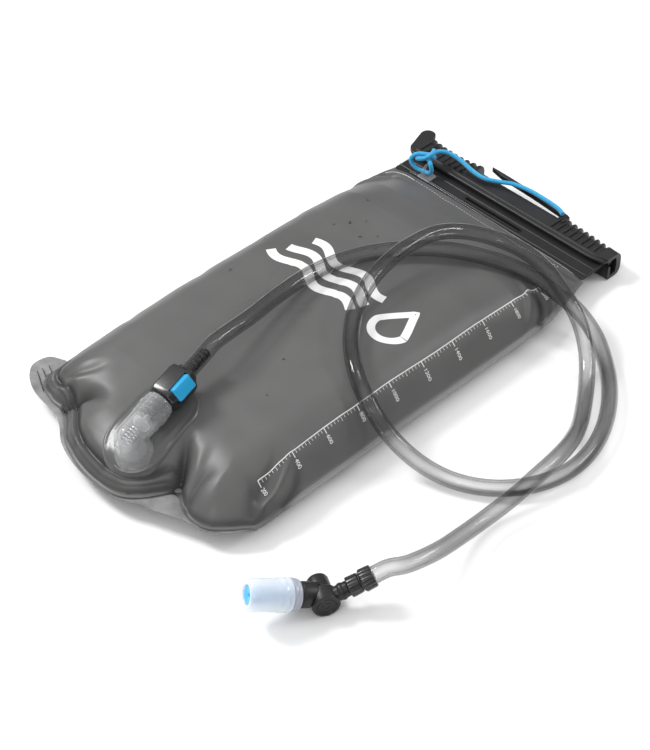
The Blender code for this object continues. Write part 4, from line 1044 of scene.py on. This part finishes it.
# the block narrows a little toward both ends
st = [(28.8, 0.86), (30.4, 0.95), (33.0, 1.0), (46.0, 1.0), (48.6, 0.96), (50.0, 0.86)]
verts, faces = [], []
for y, k in st:
    verts += [(a * k, y, b * k) for a, b in sect]
ns = len(sect)
for i in range(len(st) - 1):
    for k in range(ns):
        k2 = (k + 1) % ns
        faces.append((i * ns + k, (i + 1) * ns + k, (i + 1) * ns + k2, i * ns + k2))
faces.append(tuple(range(ns))[::-1])
faces.append(tuple(range((len(st) - 1) * ns, len(st) * ns)))
plug = add("plug_block", verts, faces, M_GLOSSY, None, matrix=port_m)
soften(plug, 0.9, 3, 18)
tilt = Matrix.Rotation(math.radians(-BUTTON_TILT), 4, "Y")
v, f = box((4.3, 32.6, -4.9), (16.0, 47.4, 4.9))
cb = add("c4", v, f, M_GLOSSY, None, matrix=port_m @ tilt, cutter=True)
v, f = turned([(0, 20), (3.2, 20), (3.2, 60), (0, 60)], 32)
cc = add("c5", v, f, M_GLOSSY, None, matrix=port_m, cutter=True)
carve(plug, [cb, cc], ["DIFFERENCE", "DIFFERENCE"])
reshade(plug, 30)
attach(plug, "plug")
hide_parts("plug_body")
v, f = box((6.8, 33.0, -4.5), (11.2, 47.0, 4.5))
btn = add("release_button_blue", v, f, M_BLUE, None, matrix=port_m @ tilt)
soften(btn, 1.2, 4, 30)
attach(btn, "button")
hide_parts("release_button")
pts = coil_path(2.2, 0, 1.25, 2.5)
pts = [Vector((4.95 + p.y, 40.0 + p.x, p.z)) for p in pts]
v, f = sweep(pts, wire_section(0.26, 8))
bs = add("button_spring_wire", v, f, M_STEEL, None, ("button_spring",),
         matrix=port_m @ tilt)
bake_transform(bs)
# barb under the tube
prof = [(2.4, 50.3), (3.3, 50.3)]
for k in range(5):
    y = 51.6 + 3.4 * k
    prof += [(2.6, y), (2.6, y + 1.1), (3.5, y + 1.3), (3.5, y + 3.1)]
prof += [(2.8, 69.3), (2.4, 69.3)]
v, f = turned(prof, 36)
add("barb_black", v, f, M_GLOSSY, "plug", ("plug_barb",), matrix=port_m,
    smooth=25)
# fluted sleeve between block and tube
prof = rounded([(5.2, 50.15), (7.0, 50.15), (6.9, 51.4), (6.2, 52.2), (5.2, 52.2)], 0.2)
v, f = turned(prof, 40)
add("tube_sleeve", v, f, M_GLOSSY, "plug", matrix=port_m)

# ------------------------------------------------------------ mouth and slider
STRIP_X0, STRIP_X1 = -76.0, 84.0
y0, y1 = 144.2, 173.5
sect = [(y0 - 1.2, 12.7), (y0 - 1.2, 13.5), (y0 + 0.4, 14.0), (y0 + 1.6, 13.75),
        (y0 + 3.0, 13.7), (146.9, 13.75), (147.4, 14.1), (147.9, 14.1), (148.4, 13.75),
        (154.8, 13.75), (155.2, 14.05), (155.8, 14.05), (156.2, 13.75), (170.2, 13.7),
        (170.6, 14.3), (y1 - 0.6, 14.3), (y1, 13.8), (y1, 12.55), (160, 12.55), (150, 12.55)]
v, f = prism(sect, STRIP_X0, STRIP_X1, axis="X")
strip = add("mouth_strip_top", v, f, M_STRIP, None)
pill = []
for cx, a0 in ((23.6, -90), (-17.6, 90)):
    for k in range(13):
        a = math.radians(a0 + 15 * k)
        pill.append((cx + 3.3 * math.cos(a), 151.4 + 0.95 * math.sin(a)))
v, f = prism(pill, 5.0, 20.0)
cs = add("c6", v, f, M_STRIP, None, cutter=True)
carve(strip, [cs], ["DIFFERENCE"])
reshade(strip, 30)
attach(strip, "reservoir")
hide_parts("mouth_strip_front")
rim = []
for cx, a0 in ((23.6, -90), (-17.6, 90)):
    for k in range(13):
        a = math.radians(a0 + 15 * k)
        rim.append(Vector((cx + 3.6 * math.cos(a), 151.4 + 2.0 * math.sin(a), 13.9)))
v, f = sweep(rim, lambda i, n: [(0.42 * math.cos(q * math.pi / 5), 0.42 * math.sin(q * math.pi / 5))
                               for q in range(10)], closed=True)
add("slit_bead", v, f, M_STRIP, "reservoir", ("slit_rim",), smooth=80)
for ob in (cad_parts["mouth_strip_back"],):
    ob.data.materials.clear()
    ob.data.materials.append(M_STRIP)


def slider_profile(x, dep):
    k = float(np.interp(x, [q[0] for q in SLIDER_REAR], [q[1] for q in SLIDER_REAR]))
    lip = 0.0
    if x > 71.0:
        lip = 4.8 * (1.0 - math.sqrt(max(0.0, 1.0 - ((x - 71.0) / 16.0) ** 2)))
    if x < -77.0:
        lip = 3.0 * ((-77.0 - x) / 3.0) ** 2
    cut = 1.6 * dep
    cy, cz, ro = 171.5, 8.75, 8.45
    pts = [(159.5 + lip, 15.3), (159.45 + lip, 15.8), (159.55 + lip, 16.4),
           (159.9 + lip, 16.9), (160.5 + lip, 17.2), (161.0 + lip * 0.9, 17.15),
           (161.4 + lip * 0.85, 16.7), (163.4 + lip * 0.4, 16.7), (163.9 + lip * 0.28, 17.2),
           (165.2, 17.2),
           (165.7, 17.2 - cut * 0.35), (166.2, 17.2 - cut), (171.5, 17.2 - cut)]
    for a in (76, 62, 48, 34, 20, 7, -7, -20, -34, -48, -62, -76):
        r = ro - cut
        c, q = math.cos(math.radians(a)), math.sin(math.radians(a))
        pts.append((cy + r * 1.08 * k * c ** 0.6,
                    cz + math.copysign(r * abs(q) ** 0.7, q)))
    pts += [(171.5, 0.3), (167.4, 0.3), (166.6, 0.6), (166.2, 1.3), (166.2, 9.6),
            (166.5, 10.3), (167.3, 10.5), (168.1, 10.3), (168.4, 9.8), (168.4, 3.0),
            (171.5, 3.0), (173.2, 3.3), (173.9, 4.2), (174.4, 8.75), (173.9, 13.4),
            (173.2, 14.7), (170.6, 14.7), (168.6, 14.7), (168.3, 14.1), (167.4, 13.95),
            (166.4, 14.1), (166.0, 15.0), (160.4 + lip, 15.0)]
    return pts


stations = [(SLIDER_X0, 0.0), (-79.4, 0.0), (-78.2, 0.0), (-77.0, 0.0)]
for lo, hi in ((-76.0, -36.0), (38.5, 78.5)):
    pitch = (hi - lo) / GRIP_RIBS
    for i in range(GRIP_RIBS):
        a = lo + pitch * i
        stations += [(a + 0.30, 0.0), (a + 0.55, 0.12), (a + 0.85, 0.55), (a + 1.15, 0.92),
                     (a + 1.5, 1.0), (a + pitch - 1.35, 1.0), (a + pitch - 1.0, 0.92),
                     (a + pitch - 0.7, 0.55), (a + pitch - 0.4, 0.12), (a + pitch - 0.15, 0.0)]
    if lo < 0:
        stations += [(x, 0.0) for x in (-34.8, -34.4, -34.0, -33.6, -15.0, 0.0, 15.0, 36.2,
                                        36.6, 37.0, 37.4)]
stations += [(x, 0.0) for x in (79.0, 79.8, 80.6, 81.5, 82.5, 83.5, 84.5, 85.4, 86.1, 86.6, SLIDER_X1)]
verts, faces = [], []
for x, dep in stations:
    verts += [(x, a, b) for a, b in slider_profile(x, dep)]
n = len(slider_profile(0, 0))
for i in range(len(stations) - 1):
    for k in range(n):
        k2 = (k + 1) % n
        faces.append((i * n + k, (i + 1) * n + k, (i + 1) * n + k2, i * n + k2))
faces.append(tuple(range(n))[::-1])
faces.append(tuple(range((len(stations) - 1) * n, len(stations) * n)))
slider = add("slide_closure_body", verts, faces, M_BLACK, None)
ear = [(-77.6, 160.6), (-80.6, 161.8), (-82.5, 163.9)]
for k in range(19):
    a = math.radians(200 - 11.5 * k)
    ear.append((-82.6 + 5.2 * math.cos(a), 180.8 + 5.4 * math.sin(a)))
ear += [(-75.6, 181.0), (-75.6, 176.0)]
v, f = prism(ear, 13.9, 17.15)
e1 = add("c7", v, f, M_BLACK, None, cutter=True)
soften(e1, 0.6, 3, 40)
v, f = prism([(-82.0, 166.5), (-82.0, 178.5), (-78.9, 179.5), (-78.9, 166.3)], 0.5, 16.0)
e2 = add("c8", v, f, M_BLACK, None, cutter=True)
soften(e2, 0.5, 2, 40)
outer, inner = [], []
for k in range(25):
    t = k / 24
    x = -29.0 + 68.0 * t
    y = 186.5 - 3.6 * t * t
    outer.append((x, y))
    inner.append((x + 0.4, y - 0.8 - 2.2 * min(1.0, t / 0.14)))
hook = outer + [(41.5, 182.0), (41.5, 175.0), (37.6, 175.0), (37.6, 179.6)] \
    + [p for p in reversed(inner) if p[0] < 37.0]
v, f = prism(hook, 12.6, 16.2)
e3 = add("c9", v, f, M_BLACK, None, cutter=True)
soften(e3, 0.5, 3, 40)
carve(slider, [e1, e2, e3], ["UNION"] * 3)
reshade(slider, 38)
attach(slider, "slider")
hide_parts("slide_closure")

# clear eyelet
loop = [Vector((-54.0, 149.6 + 3.75 * math.cos(a), 19.4 + 4.0 * math.sin(a)))
        for a in np.linspace(0, 2 * math.pi, 40, endpoint=False)]
v, f = sweep(loop, lambda i, n: [(0.85 * math.cos(q * math.pi / 6), 1.1 * math.sin(q * math.pi / 6))
                                for q in range(12)], closed=True)
add("eyelet_ring", v, f, M_RING, "reservoir", ("tether_eyelet",), smooth=80)
v, f = prism([(-58.5, 145.2), (-49.5, 145.2), (-49.0, 146.0), (-49.0, 153.2), (-49.6, 154.0),
              (-58.4, 154.0), (-59.0, 153.2), (-59.0, 146.0)], 13.9, 14.9)
tab = add("eyelet_foot", v, f, M_RING, None)
soften(tab, 0.35, 2, 40)
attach(tab, "reservoir")

# --------------------------------------------------------------- bite valve
prof = [(0, -0.25), (1.3, -0.25), (1.6, 0.05), (2.3, 0.05), (2.6, -0.3), (4.3, -0.3),
        (4.6, 0), (5.0, 0.0), (5.3, -0.35), (5.7, -0.35), (6.0, 0.0), (7.0, 0), (7.6, -0.25),
        (7.9, -0.9), (7.9, -9.0), (7.5, -9.6), (5.3, -9.6), (5.3, -2.0), (0, -2.0)]
v, f = turned(prof, 56)
house = add("housing_black", v, f, M_BLACK, None, matrix=valve_m)
v, f = turned(rounded([(0, 6.4), (4.2, 6.4), (4.4, 9.0), (4.9, 10.0), (4.9, 11.2), (4.4, 12.0),
                       (4.4, 14.3), (0, 14.3)], 0.3), 44)
s1 = add("c11", arm_pts(v, STEM_PITCH, -1, -5.0), f, M_BLACK, None, matrix=valve_m,
         cutter=True)
v, f = turned([(0, 3.0), (2.2, 3.0), (2.2, 30), (0, 30)], 24)
s2 = add("c12", arm_pts(v, STEM_PITCH, -1, -5.0), f, M_BLACK, None, matrix=valve_m,
         cutter=True)
carve(house, [s1, s2], ["UNION", "DIFFERENCE"])
reshade(house, 32)
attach(house, "reservoir")
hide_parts("valve_housing")


def fluted(profile, count, depth, seg=72):
    """A turned ring with shallow flutes round it."""
    v, f = turned(profile, seg)
    out = []
    rmax = max(p[0] for p in profile)
    for x, y, z in v:
        r = math.hypot(x, z)
        if r > rmax - 0.8 and r > 1e-6:
            a = math.atan2(z, x)
            k = 1 - depth / r * max(0.0, math.cos(count * a)) ** 2
            x, z = x * k, z * k
        out.append((x, y, z))
    return out, f


v, f = fluted(rounded([(2.3, 14.6), (5.6, 14.6), (5.9, 15.2), (5.7, 21.0), (5.2, 21.6),
                       (2.3, 21.6)], 0.3), 10, 0.35)
sleeve = add("stem_sleeve_black", arm_pts(v, STEM_PITCH, -1, -5.0), f, M_GLOSSY, "reservoir",
             ("stem_sleeve",), matrix=valve_m)
v, f = fluted(rounded([(2.3, 21.9), (5.4, 21.9), (6.5, 22.8), (6.3, 29.0), (5.6, 29.6),
                       (2.3, 29.6)], 0.35), 12, 0.4)
collar = add("tube_collar_black", arm_pts(v, STEM_PITCH, -1, -5.0), f, M_GLOSSY, "reservoir",
             ("tube_collar",), matrix=valve_m)

v, f = turned([(0, -20.6), (3.4, -20.55), (4.9, -20.1), (5.8, -19.4), (6.3, -18.2),
               (6.3, -9.95), (0, -9.95)], 52)
rotor = add("rotor_black", v, f, M_BLACK, None, matrix=valve_m)
v, f = turned(rounded([(0, 2.0), (6.7, 2.0), (6.9, 5.0), (7.3, 9.0), (7.3, 12.6), (7.0, 12.9),
                       (7.3, 13.2), (7.3, 14.2), (0, 14.2)], 0.25), 52)
r1 = add("c13", arm_pts(v, ARM_PITCH, 1, -9.0), f, M_BLACK, None, matrix=valve_m,
         cutter=True)
v, f = turned([(0, -9.9), (8.3, -9.9), (8.3, 6), (0, 6)], 56)
r2 = add("c14", v, f, M_BLACK, None, matrix=valve_m, cutter=True)
v, f = turned([(0, 4.5), (2.4, 4.5), (2.4, 20), (0, 20)], 24)
r3 = add("c15", arm_pts(v, ARM_PITCH, 1, -12.9), f, M_BLACK, None, matrix=valve_m,
         cutter=True)
carve(rotor, [r1, r2, r3], ["UNION", "DIFFERENCE", "DIFFERENCE"])
reshade(rotor, 32)
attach(rotor, "mouth")
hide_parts("valve_rotor")
prof = [(0, -2.3), (4.7, -2.3), (5.0, -2.7), (5.0, -6.2), (4.1, -6.2), (4.1, -7.6),
        (5.0, -7.6), (5.0, -9.6), (0, -9.6)]
v, f = turned(rounded(prof, 0.15, 2), 44)
spool = add("spool_black", v, f, M_GLOSSY, "mouth", ("shutoff_spool",),
            matrix=valve_m)
v, f = torus(4.68, 0.42, 44, 12, at=-6.9)
seal = add("spool_seal", v, f, M_RUBBER, "mouth", ("spool_o_ring",), matrix=valve_m,
           smooth=80)
prof = rounded([(2.6, 14.5), (8.3, 14.5), (8.7, 15.0), (8.9, 16.2), (8.6, 16.5), (9.1, 16.9),
                (9.3, 18.6), (9.0, 19.2), (2.6, 19.2)], 0.25)
v, f = turned(prof, 56)
base = add("mouth_ring_grey", arm_pts(v, ARM_PITCH, 1, -9.0), f, M_RINGGREY, "mouth",
           ("mouth_base_ring",), matrix=valve_m)
prof = rounded([(1.8, 19.5), (6.6, 19.5), (6.6, 22.0), (5.0, 24.0), (5.2, 36.0), (5.4, 41.6),
                (5.0, 42.9), (2.6, 42.5), (0.6, 42.1)], 0.3)
v, f = turned(prof, 48)
core = add("core_blue_tube", arm_pts(v, ARM_PITCH, 1, -9.0), f, M_CORE, "mouth",
           ("flow_core",), matrix=valve_m)
prof = [(9.4, 19.5), (9.7, 20.0), (9.6, 21.6), (9.15, 22.1), (9.3, 22.7), (9.5, 24.0),
        (9.45, 26.0), (9.15, 26.5), (9.3, 27.1), (9.2, 31.0), (9.2, 35.0), (9.3, 38.0), (9.1, 40.4), (8.4, 42.3),
        (7.4, 43.5), (6.5, 43.9), (5.8, 43.7), (5.5, 43.2), (5.6, 42.4), (6.4, 41.0),
        (7.0, 39.0), (7.2, 36.0), (7.2, 24.0), (7.1, 19.5)]
v, f = turned(prof, 64)
mouth = add("mouthpiece_silicone", arm_pts(v, ARM_PITCH, 1, -9.0), f, M_SILICONE, "mouth",
            ("bite_mouthpiece",), matrix=valve_m, smooth=60)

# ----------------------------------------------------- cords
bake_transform(hose)
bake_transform(tether)

# -------------------------------------------------------------- floor, light
me = bpy.data.meshes.new("floor")
me.from_pydata([(-4, -4, 0), (4, -4, 0), (4, 4, 0), (-4, 4, 0)], [], [(0, 1, 2, 3)])
floor = bpy.data.objects.new("floor", me)
scn.collection.objects.link(floor)
floor.data.materials.append(make_mat("floor_pale", (0.90, 0.90, 0.90), rough=0.7, var=0.01,
                                     var_scale=3))
floor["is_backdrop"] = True
world = bpy.data.worlds.new("w")
scn.world = world
world.use_nodes = True
wn, wl = world.node_tree.nodes, world.node_tree.links
wtc, wsep = wn.new("ShaderNodeTexCoord"), wn.new("ShaderNodeSeparateXYZ")
wramp = wn.new("ShaderNodeValToRGB")
wramp.color_ramp.elements[0].position = 0.15
wramp.color_ramp.elements[0].color = (0.10, 0.10, 0.10, 1)
wramp.color_ramp.elements[1].position = 0.80
wramp.color_ramp.elements[1].color = (1, 1, 1, 1)
wl.new(wtc.outputs["Generated"], wsep.inputs["Vector"])
wl.new(wsep.outputs["Z"], wramp.inputs["Fac"])
wl.new(wramp.outputs["Color"], wn["Background"].inputs["Color"])
world.node_tree.nodes["Background"].inputs["Strength"].default_value = 0.95


def area(name, loc, size, power, target=(0.03, 0.0, 0.02)):
    d = bpy.data.lights.new(name, "AREA")
    d.shape = "RECTANGLE"
    d.size, d.size_y = size
    d.energy = power
    o = bpy.data.objects.new(name, d)
    o.location = loc
    o.rotation_mode = "QUATERNION"
    o.rotation_quaternion = (Vector(target) - Vector(loc)).to_track_quat("-Z", "Y")
    scn.collection.objects.link(o)


area("key", (-0.95, -0.45, 1.15), (0.40, 0.40), 17.5)
area("fill", (0.75, 0.95, 0.9), (0.5, 0.16), 5.0)
area("front", (0.5, -1.2, 0.9), (0.6, 0.2), 4.0)
scn.view_settings.view_transform = "Standard"

lo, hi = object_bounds()
